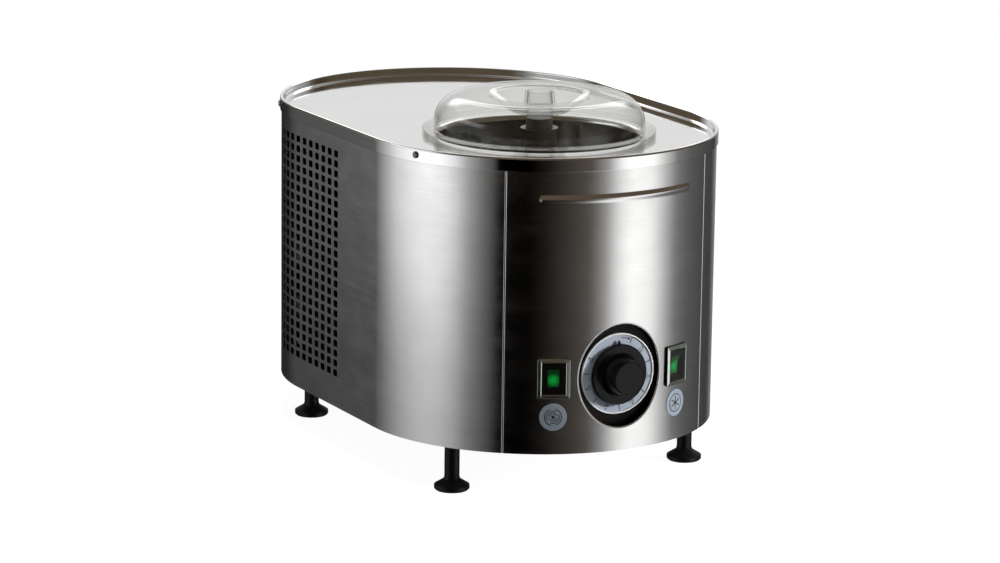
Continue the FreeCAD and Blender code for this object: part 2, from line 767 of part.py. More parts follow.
def lid():
    """Clear lid: turned-down flange, domed side, dished crown and an open central filling tube."""
    rest = FLOOR_TOP + RUN_GAP
    outer = lid_shell(0.0, rest, LID_FLANGE, LID_FLANGE_TOP)
    inner = lid_shell(LID_WALL, rest - 1, LID_FLANGE - LID_WALL, LID_FLANGE_TOP - LID_WALL)
    spout = turned([
        (0, LID_DISH - LID_WALL),
        (LID_TUBE_BASE, LID_DISH - LID_WALL),
        (LID_TUBE_BASE, LID_DISH),
        (LID_TUBE_TIP, LID_TUBE_TOP),
        (0, LID_TUBE_TOP),
    ], y=BOWL_Y)
    bore = turned([
        (0, LID_DISH - 4),
        (LID_TUBE_BASE - LID_WALL, LID_DISH - 4),
        (LID_TUBE_BASE - LID_WALL, LID_DISH),
        (LID_TUBE_TIP - LID_WALL, LID_TUBE_TOP + 1),
        (0, LID_TUBE_TOP + 1),
    ], y=BOWL_Y)
    return fuse([outer.cut(inner), spout]).cut(bore)


# ---------------------------------------------------------------- gearbox and motor
GEARBOX_BOTTOM = 112.0
GEARBOX_FLOOR = 115.0
GEARBOX_SPLIT = 148.0
GEARBOX_TOP = 152.0
GEARBOX_WALL = 3.0
BEARING_OUTER = 9.0
BOSS_RADIUS = 12.0
LAY_RADIUS = 5.0
MOTOR_RADIUS = 40.0
MOTOR_SHAFT = 4.0
BEARING_TOP = GEARBOX_TOP + 8.0
SPINDLE_BOTTOM = 103.5
EAR_RADIUS = 6.0
SCREW_SHANK = 2.0
POST_RADIUS = 5.0
GEARBOX_SCREWS = [(-44.0, -112.0), (44.0, -112.0), (-47.5, -30.0), (58.0, 26.0)]


def gearbox_outline(grow, z0, z1):
    output = (0.0, BOWL_Y, 49.0 + grow)
    lay = (0.0, LAY_Y, 42.0 + grow)
    motor = (MOTOR_X, MOTOR_Y, 16.0 + grow)
    return fuse([hull_of_discs(output, lay, z0, z1), hull_of_discs(lay, motor, z0, z1)])


def gearbox_ears(z0, z1):
    ears = []
    for x, y in GEARBOX_SCREWS:
        ears.append(post(x, y, EAR_RADIUS, z0, z1))
        ears.append(ear_web(x, y, z0, z1))
    return ears


def ear_web(x, y, z0, z1):
    """A short web from an ear to the nearest gear axis's wall."""
    axes = [(0.0, BOWL_Y, 46.0), (0.0, LAY_Y, 39.0), (MOTOR_X, MOTOR_Y, 13.0)]
    cx, cy, reach = min(axes, key=lambda axis: math.hypot(x - axis[0], y - axis[1]) - axis[2])
    web = box(reach, math.hypot(x - cx, y - cy), 1 - EAR_RADIUS, EAR_RADIUS - 1, z0, z1)
    web.rotate(vec(0, 0, 0), Z_AXIS, math.degrees(math.atan2(y - cy, x - cx)))
    web.translate(vec(cx, cy, 0))
    return web


def gearbox_housing():
    """Die-cast case open at the top, with screw ears, a bearing boss and four posts down to the base."""
    cavity = gearbox_outline(0.0, GEARBOX_FLOOR, GEARBOX_SPLIT + 1)
    outside = gearbox_outline(GEARBOX_WALL, GEARBOX_BOTTOM, GEARBOX_SPLIT)
    shell = fuse([outside] + gearbox_ears(GEARBOX_SPLIT - 8, GEARBOX_SPLIT)).cut(cavity)
    boss = post(0, BOWL_Y, BOSS_RADIUS, SPINDLE_BOTTOM - 3.5, GEARBOX_FLOOR)
    shell = fuse([shell, boss] + gearbox_posts())
    tools = [
        post(0, BOWL_Y, BEARING_OUTER, SPINDLE_BOTTOM - 0.5, GEARBOX_FLOOR + 1),
        post(0, LAY_Y, LAY_RADIUS, GEARBOX_BOTTOM - 1, GEARBOX_FLOOR + 1),
        post(MOTOR_X, MOTOR_Y, MOTOR_SHAFT + 0.6, GEARBOX_BOTTOM - 1, GEARBOX_FLOOR + 1),
    ]
    tools += [post(x, y, SCREW_SHANK, GEARBOX_SPLIT - 9, GEARBOX_SPLIT + 1) for x, y in GEARBOX_SCREWS]
    return shell.cut(tools)


def gearbox_cover():
    outside = gearbox_outline(GEARBOX_WALL, GEARBOX_SPLIT, GEARBOX_TOP)
    boss = post(0, BOWL_Y, BOSS_RADIUS, GEARBOX_SPLIT, BEARING_TOP)
    plate = fuse([outside, boss] + gearbox_ears(GEARBOX_SPLIT, GEARBOX_TOP))
    tools = [
        post(0, BOWL_Y, BEARING_OUTER, GEARBOX_SPLIT - 1, BEARING_TOP + 1),
        post(0, LAY_Y, LAY_RADIUS, GEARBOX_SPLIT - 1, GEARBOX_TOP + 1),
    ]
    tools += [post(x, y, SCREW_SHANK, GEARBOX_SPLIT - 1, GEARBOX_TOP + 1) for x, y in GEARBOX_SCREWS]
    return plate.cut(tools)


def gearbox_screws():
    screws = []
    for x, y in GEARBOX_SCREWS:
        head = post(x, y, 3.5, GEARBOX_TOP, GEARBOX_TOP + 3)
        head = head.cut(hexagon(x, y, 3.0, GEARBOX_TOP + 1.4, GEARBOX_TOP + 4))
        screws.append(fuse([head, post(x, y, SCREW_SHANK, GEARBOX_SPLIT - 7, GEARBOX_TOP)]))
    return Part.makeCompound(screws)


def gearbox_posts():
    places = [(-38.0, -85.0), (30.0, -112.0), (-38.0, -12.0), (38.0, -62.0)]
    return [post(x, y, POST_RADIUS, BASE_TOP, GEARBOX_BOTTOM) for x, y in places]


def spindle_bearings():
    inner = SPINDLE_RADIUS + RUN_GAP
    lower = tube(0, BOWL_Y, BEARING_OUTER, inner, SPINDLE_BOTTOM, GEARBOX_FLOOR + 1)
    upper = tube(0, BOWL_Y, BEARING_OUTER, inner, GEARBOX_SPLIT, BEARING_TOP)
    return Part.makeCompound([lower, upper])


OUTPUT_GEAR_BOTTOM = 118.0
OUTPUT_GEAR_TOP = 132.0
INPUT_GEAR_BOTTOM = 136.0
INPUT_GEAR_TOP = 144.0
LAY_PINION_BOTTOM = 116.5
WHEEL_HOLES = 6
WHEEL_HOLE_CENTRE = 26.0
WHEEL_HOLE_RADIUS = 7.0


def output_gear():
    """Keyed on the spindle; one tooth points at the lay shaft."""
    wheel = gear(OUTPUT_TEETH, OUTPUT_MODULE, OUTPUT_GEAR_TOP - OUTPUT_GEAR_BOTTOM, 90.0)
    wheel.translate(vec(0, BOWL_Y, OUTPUT_GEAR_BOTTOM))
    wheel = fuse([wheel, post(0, BOWL_Y, 13.0, OUTPUT_GEAR_TOP, OUTPUT_GEAR_TOP + 6)])
    tools = [post(0, BOWL_Y, SPINDLE_RADIUS, OUTPUT_GEAR_BOTTOM - 1, OUTPUT_GEAR_TOP + 7)]
    for index in range(WHEEL_HOLES):
        turn = 2.0 * math.pi * index / WHEEL_HOLES
        x = WHEEL_HOLE_CENTRE * math.cos(turn)
        y = BOWL_Y + WHEEL_HOLE_CENTRE * math.sin(turn)
        tools.append(post(x, y, WHEEL_HOLE_RADIUS, OUTPUT_GEAR_BOTTOM - 1, OUTPUT_GEAR_TOP + 1))
    return wheel.cut(tools)


def intermediate_gear():
    """Large input wheel and small output pinion in one piece, running on the lay shaft."""
    pinion_phase = -90.0 + 180.0 / OUTPUT_PINION_TEETH
    pinion = gear(OUTPUT_PINION_TEETH, OUTPUT_MODULE, INPUT_GEAR_BOTTOM - LAY_PINION_BOTTOM, pinion_phase)
    pinion.translate(vec(0, LAY_Y, LAY_PINION_BOTTOM))
    wheel = gear(INPUT_TEETH, INPUT_MODULE, INPUT_GEAR_TOP - INPUT_GEAR_BOTTOM, MOTOR_BEARING_DEG)
    wheel.translate(vec(0, LAY_Y, INPUT_GEAR_BOTTOM))
    collar = post(0, LAY_Y, 9.0, INPUT_GEAR_TOP, GEARBOX_SPLIT - 0.3)
    bore = post(0, LAY_Y, LAY_RADIUS + RUN_GAP, GEARBOX_BOTTOM, GEARBOX_TOP)
    return fuse([pinion, wheel, collar]).cut(bore)


def intermediate_shaft():
    return post(0, LAY_Y, LAY_RADIUS, GEARBOX_BOTTOM, GEARBOX_TOP)


def motor_pinion():
    phase = MOTOR_BEARING_DEG + 180.0 + 180.0 / INPUT_PINION_TEETH
    wheel = gear(INPUT_PINION_TEETH, INPUT_MODULE, 10.0, phase)
    wheel.translate(vec(MOTOR_X, MOTOR_Y, INPUT_GEAR_BOTTOM - 1))
    return wheel.cut(post(MOTOR_X, MOTOR_Y, MOTOR_SHAFT, 130, 150))


MOTOR_TOP = GEARBOX_BOTTOM - 0.3
MOTOR_BOTTOM = 52.0
ROTOR_RADIUS = 20.0
ROTOR_GAP = 0.6
MOTOR_RIB = 4.0
MOTOR_RIB_PITCH = 10.0
MOTOR_RIBS = 4
MOTOR_FOOT_REACH = 25.0


def motor_rotor():
    return fuse([
        post(MOTOR_X, MOTOR_Y, ROTOR_RADIUS, MOTOR_BOTTOM + 8, MOTOR_TOP - 8),
        post(MOTOR_X, MOTOR_Y, MOTOR_SHAFT, MOTOR_BOTTOM + 1, INPUT_GEAR_TOP + 2),
    ])


def drive_motor():
    """Stator pack with cooling ribs, open below for the end cap."""
    pieces = [post(MOTOR_X, MOTOR_Y, MOTOR_RADIUS - 2, MOTOR_BOTTOM + 4, MOTOR_TOP)]
    for index in range(MOTOR_RIBS):
        z = MOTOR_BOTTOM + MOTOR_RIB_PITCH * (index + 1)
        pieces.append(tube(MOTOR_X, MOTOR_Y, MOTOR_RADIUS, MOTOR_RADIUS - 3, z, z + MOTOR_RIB))
    body = fuse(pieces)
    chamber = post(MOTOR_X, MOTOR_Y, ROTOR_RADIUS + ROTOR_GAP, MOTOR_BOTTOM + 3, MOTOR_TOP - 6)
    bore = post(MOTOR_X, MOTOR_Y, MOTOR_SHAFT + RUN_GAP, MOTOR_TOP - 8, MOTOR_TOP + 1)
    return body.cut([chamber, bore])


def motor_end_cap():
    """Lower bearing cap standing on four feet."""
    pieces = [post(MOTOR_X, MOTOR_Y, MOTOR_RADIUS - 2, MOTOR_BOTTOM - 2, MOTOR_BOTTOM + 4)]
    for dx, dy in ((1, 0), (-1, 0), (0, 1), (0, -1)):
        x = MOTOR_X + MOTOR_FOOT_REACH * dx
        y = MOTOR_Y + MOTOR_FOOT_REACH * dy
        pieces.append(post(x, y, 6.0, BASE_TOP, MOTOR_BOTTOM - 1))
    bore = post(MOTOR_X, MOTOR_Y, MOTOR_SHAFT + RUN_GAP, MOTOR_BOTTOM, MOTOR_BOTTOM + 5)
    return fuse(pieces).cut(bore)


# ---------------------------------------------------------------- timer and switches
BRACKET_BACK_Y = -214.0
BRACKET_HALF_WIDTH = 43.5
BRACKET_HALF_HEIGHT = 46.0
DIAL_PLATE_THICK = 1.0
DIAL_RING_WIDTH = 1.4
TIMER_BACK_Y = -176.0
TIMER_HALF = 23.0
TIMER_BUSH = 5.1
TIMER_BUSH_HOLE = 5.2
TIMER_SHAFT = 3.0
TIMER_SHAFT_FRONT = -233.0
TIMER_SHAFT_BACK = -195.0
TERMINAL_HALF_WIDTH = 3.0
TERMINAL_THICK = 0.8


def dial_rod(radius, y0, y1):
    """A cylinder on the dial's axis, from one y to another."""
    return rod(radius, (0, y0, DIAL_Z), (0, y1, DIAL_Z))


def dial_bracket():
    """Folded plate behind the front panel that carries the timer."""
    low = DIAL_Z - BRACKET_HALF_HEIGHT
    high = DIAL_Z + BRACKET_HALF_HEIGHT
    front = DIAL_PLANE_Y + DIAL_PLATE_THICK
    plate = box(-BRACKET_HALF_WIDTH, BRACKET_HALF_WIDTH, front, BRACKET_BACK_Y, low, high)
    pieces = [plate.common(post(0, -ARC_Y, SKIN_INNER, low, high))]
    for from_deg in (-17.3, 15.8):
        pieces.append(front_sector(SKIN_INNER, SKIN_INNER - 3.6, from_deg, from_deg + 1.5, low, high))
    return fuse(pieces).cut(dial_rod(TIMER_BUSH_HOLE, front - 1, BRACKET_BACK_Y + 1))


def dial_plate():
    back = DIAL_PLANE_Y + DIAL_PLATE_THICK
    disc = dial_rod(DIAL_RADIUS - DIAL_RING_WIDTH, DIAL_PLANE_Y, back)
    return disc.cut(dial_rod(TIMER_BUSH_HOLE, DIAL_PLANE_Y - 1, back + 1))


def dial_ring():
    """Bright ring clipped round the dial plate."""
    front = DIAL_PLANE_Y - 1.0
    back = DIAL_PLANE_Y + DIAL_PLATE_THICK
    bore = dial_rod(DIAL_RADIUS - DIAL_RING_WIDTH, front - 1, back + 1)
    return dial_rod(DIAL_RADIUS, front, back).cut(bore)


def timer_body():
    """Boxed timer with rounded long edges, a front bush for the shaft and three rear terminals."""
    half = TIMER_HALF
    case = box(-half, half, BRACKET_BACK_Y, TIMER_BACK_Y, DIAL_Z - half, DIAL_Z + half)
    depth = TIMER_BACK_Y - BRACKET_BACK_Y
    long_edges = [edge for edge in case.Edges if abs(edge.BoundBox.YLength - depth) < 0.1]
    case = case.makeFillet(3.0, long_edges)
    pieces = [case, dial_rod(TIMER_BUSH, DIAL_PLANE_Y - 0.6, BRACKET_BACK_Y + 1)]
    for x in (-12, 0, 12):
        z = DIAL_Z - 14.0
        pieces.append(box(x - TERMINAL_HALF_WIDTH, x + TERMINAL_HALF_WIDTH, TIMER_BACK_Y - 1,
                          TIMER_BACK_Y + 8, z, z + TERMINAL_THICK))
    return fuse(pieces).cut(dial_rod(TIMER_SHAFT + RUN_GAP, TIMER_SHAFT_FRONT, TIMER_SHAFT_BACK + 0.5))


def timer_shaft():
    return dial_rod(TIMER_SHAFT, TIMER_SHAFT_FRONT, TIMER_SHAFT_BACK)


KNOB_BACK_Y = -217.3
KNOB_SKIRT_Y = -220.6
KNOB_POINTER_REACH = 3.2
KNOB_POINTER_HALF = 2.2
KNOB_POINTER_RISE = 1.6


def timer_knob():
    """Skirted pointer knob: turned body with a hollow back, and a pointer on the skirt's edge."""
    skirt = KNOB_BACK_Y - KNOB_SKIRT_Y
    face = FRONT_REACH + KNOB_BACK_Y
    body = turned([
        (0, 0),
        (KNOB_SKIRT_RADIUS, 0),
        (KNOB_SKIRT_RADIUS, skirt - 0.8),
        corner((KNOB_SKIRT_RADIUS - 0.8, skirt - 0.8), 0.8, 0, 90),
        (KNOB_BASE_RADIUS, skirt),
        (KNOB_TOP_RADIUS, face - 1.5),
        corner((KNOB_TOP_RADIUS - 1.5, face - 1.5), 1.5, 0, 90),
        (0, face),
    ])
    well = turned([
        (7.0, -1),
        (KNOB_SKIRT_RADIUS - 2, -1),
        (KNOB_SKIRT_RADIUS - 2, 1.6),
        (14.0, 1.6),
        (12.0, 15.0),
        (7.0, 15.0),
    ])
    body = body.cut(well)
    body.rotate(vec(0, 0, 0), X_AXIS, 90.0)
    foot = KNOB_SKIRT_RADIUS - 1.0
    tip = vec(0, 0, KNOB_SKIRT_RADIUS + KNOB_POINTER_REACH)
    left = vec(-KNOB_POINTER_HALF, 0, foot)
    right = vec(KNOB_POINTER_HALF, 0, foot)
    pointer = Part.Face(Part.makePolygon([left, tip, right, left])).extrude(vec(0, -KNOB_POINTER_RISE, 0))
    knob = fuse([body, pointer])
    knob.translate(vec(0, KNOB_BACK_Y, DIAL_Z))
    return knob.cut(dial_rod(TIMER_SHAFT, TIMER_SHAFT_FRONT, TIMER_SHAFT_BACK))


SWITCH_BODY_W = 22.4
SWITCH_BODY_H = 29.0
SWITCH_DEPTH = 20.0
BEZEL_W = 26.5
BEZEL_H = 33.0
BEZEL_BACK = -0.05
BEZEL_FRONT = -1.2
COVER_FRONT = -2.4
ROCKER_W = 17.0
ROCKER_HALF = 11.4
ROCKER_PIVOT = 3.6
ROCKER_REST_TILT = 8.0
PIVOT_PIN = 1.0
PIN_PROUD = 1.2
LENS_HALF_WIDTH = 5.2
LENS_HALF_HEIGHT = 7.4
WELL_HALF_HEIGHT = 12.3
WELL_DEPTH = 13.0
COVER_BEVEL = 2.6


def wedge_face(points, half_width):
    """Extrude a (y, z) outline across x, both ways."""
    wire = Part.makePolygon([vec(-half_width, y, z) for y, z in points + points[:1]])
    return Part.Face(wire).extrude(vec(2 * half_width, 0, 0))


def tilted(shape):
    shape.rotate(vec(0, ROCKER_PIVOT, 0), X_AXIS, ROCKER_REST_TILT)
    return shape


def lens_block():
    high = LENS_HALF_HEIGHT
    return wedge_face([(0.35, high), (1.55, 0.0), (0.35, -high), (3.0, -high), (3.0, high)], LENS_HALF_WIDTH)


def pivot_rod(radius, reach):
    return rod(radius, (-reach, ROCKER_PIVOT, 0), (reach, ROCKER_PIVOT, 0))


def switch_rocker():
    """Two-slope rocker with pivot pins and a window for its lens, tilted to its rest position."""
    high = ROCKER_HALF
    block = wedge_face([(0.4, high), (2.0, 0.0), (0.4, -high), (6.4, -8.0), (6.4, 8.0)], ROCKER_W / 2)
    pins = pivot_rod(PIVOT_PIN, ROCKER_W / 2 + PIN_PROUD)
    return tilted(fuse([block, pins]).cut(lens_block()))


def switch_lens():
    return tilted(lens_block())


def switch_body():
    """Snap-in switch case with its bezel, rocker well and three terminals."""
    half_w = SWITCH_BODY_W / 2 - 0.1
    half_h = SWITCH_BODY_H / 2 - 0.1
    flange = box(-BEZEL_W / 2, BEZEL_W / 2, BEZEL_FRONT, BEZEL_BACK, -BEZEL_H / 2, BEZEL_H / 2)
    pieces = [flange, box(-half_w, half_w, BEZEL_BACK - 0.1, SWITCH_DEPTH, -half_h, half_h)]
    for z in (-9.0, 0.0, 9.0):
        half = TERMINAL_THICK / 2
        pieces.append(box(-TERMINAL_HALF_WIDTH, TERMINAL_HALF_WIDTH, SWITCH_DEPTH - 1, SWITCH_DEPTH + 8,
                          z - half, z + half))
    well_half = ROCKER_W / 2 + 0.3
    well = box(-well_half, well_half, COVER_FRONT, WELL_DEPTH, -WELL_HALF_HEIGHT, WELL_HALF_HEIGHT)
    bores = pivot_rod(PIVOT_PIN + RUN_GAP, ROCKER_W / 2 + PIN_PROUD + 0.3)
    return fuse(pieces).cut([well, bores])


def rectangle(half_width, half_height, y):
    """A closed upright rectangle facing -Y."""
    left_low = vec(-half_width, y, -half_height)
    right_low = vec(half_width, y, -half_height)
    right_high = vec(half_width, y, half_height)
    left_high = vec(-half_width, y, half_height)
    return Part.makePolygon([left_low, right_low, right_high, left_high, left_low])


def switch_cover():
    """Clear splash cover: a bevelled lens plate over the bezel."""
    back = rectangle(BEZEL_W / 2, BEZEL_H / 2, BEZEL_FRONT)
    front = rectangle(BEZEL_W / 2 - COVER_BEVEL, BEZEL_H / 2 - COVER_BEVEL, COVER_FRONT)
    plate = Part.makeLoft([back, front], True, True)
    return plate.cut(box(-9.2, 9.2, BEZEL_FRONT - 0.5, 0, -12.5, 12.5))


def badge(angle):
    """A thin disc that follows the skin's curve."""
    disc = rod(BADGE_RADIUS, (0, -SKIN_RADIUS - 3, 0), (0, -SKIN_RADIUS + 3, 0))
    marker = disc.common(tube(0, 0, SKIN_RADIUS + BADGE_THICK, SKIN_RADIUS, -20, 20))
    marker.rotate(vec(0, 0, 0), Z_AXIS, angle)
    marker.translate(vec(0, -ARC_Y, BADGE_Z))
    return marker


# ---------------------------------------------------------------- refrigeration set
COMPRESSOR_X = 50.0
COMPRESSOR_Y = 130.0
COMPRESSOR_RADIUS = 50.0
COMPRESSOR_BOTTOM = 56.5
COMPRESSOR_SEAM = 118.0
COMPRESSOR_TOP = 165.0
STUB_RADIUS = 5.0
DISCHARGE_X = COMPRESSOR_X - COMPRESSOR_RADIUS - 6.0
SUCTION_Y = 120.0
SUCTION_TOP = 175.0
DISCHARGE_Z = 104.0
MOUNT_HALF_X = 62.0
MOUNT_HALF_Y = 44.0
MOUNT_PLATE_BOTTOM = COMPRESSOR_BOTTOM - 2.5
GROMMET_BORE = 3.0
CONDENSER_X0 = -138.0
CONDENSER_X1 = -108.0
CONDENSER_Y0 = -8.0
CONDENSER_Y1 = 92.0
CONDENSER_Z0 = 60.0
CONDENSER_Z1 = 172.0
FIN_COUNT = 20
FIN_THICK = 0.5
TUBE_RADIUS = 4.0
FAN_Y = 42.0
FAN_Z = 116.0
FAN_RADIUS = 44.0
SHROUD_DEPTH = 20.0
FAN_MOTOR_FACE = -84.0
FAN_SHAFT = 2.5
FAN_BLADES = 5
FAN_PITCH = 55.0
PIPE_RADIUS = 3.0
CAPILLARY_RADIUS = 1.5
DRIER_X = -98.0
DRIER_Y = 148.0
DRIER_Z0 = 62.0
DRIER_Z1 = 162.0
PIPE_TURN_Y = 118.0


def compressor_shell():
    """Welded hermetic shell: deep-drawn base and cap with a seam ring, two pipe stubs and a foot plate."""
    r = COMPRESSOR_RADIUS
    low = COMPRESSOR_BOTTOM
    body = turned([
        (0, low),
        (r - 18, low),
        corner((r - 18, low + 18), 18, -90, 0),
        (r, COMPRESSOR_SEAM),
        (r + 2, COMPRESSOR_SEAM),
        (r + 2, COMPRESSOR_SEAM + 3),
        (r - 1, COMPRESSOR_SEAM + 3),
        (r - 1, COMPRESSOR_TOP - 23),
        corner((r - 23, COMPRESSOR_TOP - 23), 22, 0, 80),
        (0, COMPRESSOR_TOP),
    ], x=COMPRESSOR_X, y=COMPRESSOR_Y)
    suction = post(STUB_X, SUCTION_Y, STUB_RADIUS, 140, SUCTION_TOP)
    shell_side = (COMPRESSOR_X, PIPE_TURN_Y, DISCHARGE_Z)
    discharge = rod(STUB_RADIUS, shell_side, (DISCHARGE_X, PIPE_TURN_Y, DISCHARGE_Z))
    return fuse([body, suction, discharge, compressor_mount()])


def grommet_places():
    return [(COMPRESSOR_X + sx * (MOUNT_HALF_X - 10), COMPRESSOR_Y + sy * (MOUNT_HALF_Y - 10))
            for sx in (-1, 1) for sy in (-1, 1)]


def compressor_mount():
    x0, x1 = COMPRESSOR_X - MOUNT_HALF_X, COMPRESSOR_X + MOUNT_HALF_X
    y0, y1 = COMPRESSOR_Y - MOUNT_HALF_Y, COMPRESSOR_Y + MOUNT_HALF_Y
    plate = box(x0, x1, y0, y1, MOUNT_PLATE_BOTTOM, COMPRESSOR_BOTTOM)
    plate = plate.common(post(0, ARC_Y, SKIN_INNER - 6, 0, 100))
    return plate.cut([post(x, y, GROMMET_BORE, 50, 60) for x, y in grommet_places()])


def compressor_grommets():
    """Waisted rubber feet under the compressor's plate."""
    wide, waist = 9.0, 7.6
    grommets = []
    for x, y in grommet_places():
        grommets.append(turned([
            (GROMMET_BORE, BASE_TOP),
            (wide, BASE_TOP),
            (wide, BASE_TOP + 4),
            (waist, BASE_TOP + 5.5),
            (wide, BASE_TOP + 7),
            (wide, MOUNT_PLATE_BOTTOM),
            (GROMMET_BORE, MOUNT_PLATE_BOTTOM),
        ], x=x, y=y))
    return Part.makeCompound(grommets)


def start_relay():
    """Relay and overload cover, hollowed to the compressor's shell."""
    x0 = COMPRESSOR_X + 20
    y0 = COMPRESSOR_Y - 20
    block = box(x0, x0 + 44, y0, y0 + 38, 80, COMPRESSOR_SEAM - 0.5)
    return block.cut(post(COMPRESSOR_X, COMPRESSOR_Y, COMPRESSOR_RADIUS + 0.1, 70, 130))


def run_capacitor():
    r, top = 17.0, 106.0
    return turned([
        (0, BASE_TOP),
        (r, BASE_TOP),
        (r, top - 2),
        corner((r - 2, top - 2), 2, 0, 90),
        (6, top),
        (6, top + 2.5),
        (0, top + 2.5),
    ], x=-55, y=165)


def tube_rows():
    """(x, z) of each condenser tube."""
    span = (CONDENSER_Z1 - CONDENSER_Z0) / 5.0
    return [(x, CONDENSER_Z0 + span * (level + 0.5)) for level in range(5) for x in (-130.5, -115.5)]


def condenser_fins():
    bores = [rod(TUBE_RADIUS, (x, CONDENSER_Y0 - 5, z), (x, CONDENSER_Y1 + 5, z)) for x, z in tube_rows()]
    blank = box(CONDENSER_X0, CONDENSER_X1, 0, FIN_THICK, CONDENSER_Z0, CONDENSER_Z1)
    fins = []
    pitch = (CONDENSER_Y1 - CONDENSER_Y0 - FIN_THICK) / (FIN_COUNT - 1)
    fin = blank.cut(bores)
    for index in range(FIN_COUNT):
        copy = fin.copy()
        copy.translate(vec(0, CONDENSER_Y0 + index * pitch, 0))
        fins.append(copy)
    return Part.makeCompound(fins)


def condenser_tubes():
    """Straight tubes joined by return bends at both ends into one path."""
    rows = tube_rows()
    straights = [rod(TUBE_RADIUS, (x, CONDENSER_Y0 - 3, z), (x, CONDENSER_Y1 + 3, z)) for x, z in rows]
    order = []
    for level in range(5):
        pair = rows[2 * level: 2 * level + 2]
        order += pair if level % 2 == 0 else pair[::-1]
    bends = []
    for index, (start, end) in enumerate(zip(order, order[1:])):
        y = CONDENSER_Y0 - 3 if index % 2 == 0 else CONDENSER_Y1 + 3
        out = -1 if index % 2 == 0 else 1
        bends.append(return_bend(start, end, y, out))
    return fuse(straights + bends)


def return_bend(start, end, y, out):
    middle = ((start[0] + end[0]) / 2.0, (start[1] + end[1]) / 2.0)
    gap = math.dist(start, end) / 2.0
    ring = Part.makeTorus(gap, TUBE_RADIUS, vec(0, 0, 0), Z_AXIS)
    keep = box(-60, 60, 0, 60, -20, 20) if out > 0 else box(-60, 60, -60, 0, -20, 20)
    bend = ring.common(keep)
    tilt = math.degrees(math.atan2(end[1] - start[1], end[0] - start[0]))
    bend.rotate(vec(0, 0, 0), Y_AXIS, -tilt)
    bend.translate(vec(middle[0], y, middle[1]))
    return bend


def fan_rod(radius, x0, x1):
    """A cylinder on the fan's axis, from one x to another."""
    return rod(radius, (x0, FAN_Y, FAN_Z), (x1, FAN_Y, FAN_Z))


def fan_shroud():
    """Sheet beside the condenser with a ring round the fan and a foot on the base."""
    x = CONDENSER_X1
    sheet = box(x, x + 1.2, CONDENSER_Y0, CONDENSER_Y1, BASE_TOP, CONDENSER_Z1)
    ring = fan_rod(FAN_RADIUS + 3.5, x + 1, x + SHROUD_DEPTH)
    foot = box(x, x + 14, CONDENSER_Y0, CONDENSER_Y1, BASE_TOP, BASE_TOP + 1.5)
    return fuse([sheet, ring, foot]).cut(fan_rod(FAN_RADIUS + 2.0, x - 5, x + SHROUD_DEPTH + 10))


def fan_motor():
    """Shaded-pole motor on a four-arm spider that clips over the shroud's ring."""
    face = FAN_MOTOR_FACE
    can = fan_rod(20.0, face, face + 34)
    core = box(face + 6, face + 26, FAN_Y - 22, FAN_Y + 22, FAN_Z - 22, FAN_Z + 22)
    arms = []
    for turn in (45.0, 135.0, 225.0, 315.0):
        arm = box(face, face + 2, -3, 3, 12, FAN_RADIUS + 3.4)
        leg = box(CONDENSER_X1 + SHROUD_DEPTH, face + 2, -3, 3, FAN_RADIUS + 2.1, FAN_RADIUS + 3.4)
        for piece in (arm, leg):
            piece.rotate(vec(0, 0, 0), X_AXIS, turn)
            piece.translate(vec(0, FAN_Y, FAN_Z))
            arms.append(piece)
    return fuse([can, core] + arms).cut(fan_rod(FAN_SHAFT + RUN_GAP, face - 1, face + 24))


def fan_blade():
    """Axial impeller with its shaft."""
    hub = fan_rod(13.0, -104, -88)
    shaft = fan_rod(FAN_SHAFT, -90, FAN_MOTOR_FACE + 22)
    limit = fan_rod(FAN_RADIUS, -105, -87)
    blades = []
    for index in range(FAN_BLADES):
        blade = box(-0.9, 0.9, -13, 13, 10, FAN_RADIUS + 2)
        blade.rotate(vec(0, 0, 0), Z_AXIS, FAN_PITCH)
        blade.translate(vec(-96, 0, 0))
        blade.rotate(vec(0, 0, 0), X_AXIS, 360.0 / FAN_BLADES * index)
        blade.translate(vec(0, FAN_Y, FAN_Z))
        blades.append(blade.common(limit))
    return fuse([hub, shaft] + blades)


def filter_drier():
    low, high = DRIER_Z0, DRIER_Z1
    return turned([
        (0, low),
        (3, low),
        (3, low + 6),
        (9.5, low + 14),
        (9.5, high - 14),
        (3, high - 6),
        (3, high),
        (0, high),
    ], x=DRIER_X, y=DRIER_Y)


def condenser_end(index):
    x, z = tube_rows()[index]
    return (x, CONDENSER_Y1 + 3, z)


def discharge_pipe():
    """Hot gas from the compressor to the condenser's top tube."""
    end = condenser_end(9)
    return bent_pipe([
        (DISCHARGE_X, PIPE_TURN_Y, DISCHARGE_Z),
        (-45, PIPE_TURN_Y, DISCHARGE_Z),
        (-45, PIPE_TURN_Y, end[2]),
        (end[0], PIPE_TURN_Y, end[2]),
        end,
    ], PIPE_RADIUS, 12.0)


def liquid_pipe():
    """From the condenser's lowest tube to the filter drier."""
    start = condenser_end(0)
    return bent_pipe([
        start,
        (start[0], PIPE_TURN_Y, start[2]),
        (DRIER_X, PIPE_TURN_Y, start[2]),
        (DRIER_X, PIPE_TURN_Y, 50),
        (DRIER_X, DRIER_Y, 50),
        (DRIER_X, DRIER_Y, DRIER_Z0),
    ], PIPE_RADIUS, 8.0)


def capillary_tube():
    """Thin line from the drier to the bowl's coil."""
    return bent_pipe([
        (DRIER_X, DRIER_Y, DRIER_Z1),
        (DRIER_X, DRIER_Y, COIL_FIRST),
        (-STUB_X, DRIER_Y, COIL_FIRST),
        (-STUB_X, STUB_END, COIL_FIRST),
    ], CAPILLARY_RADIUS, 14.0)


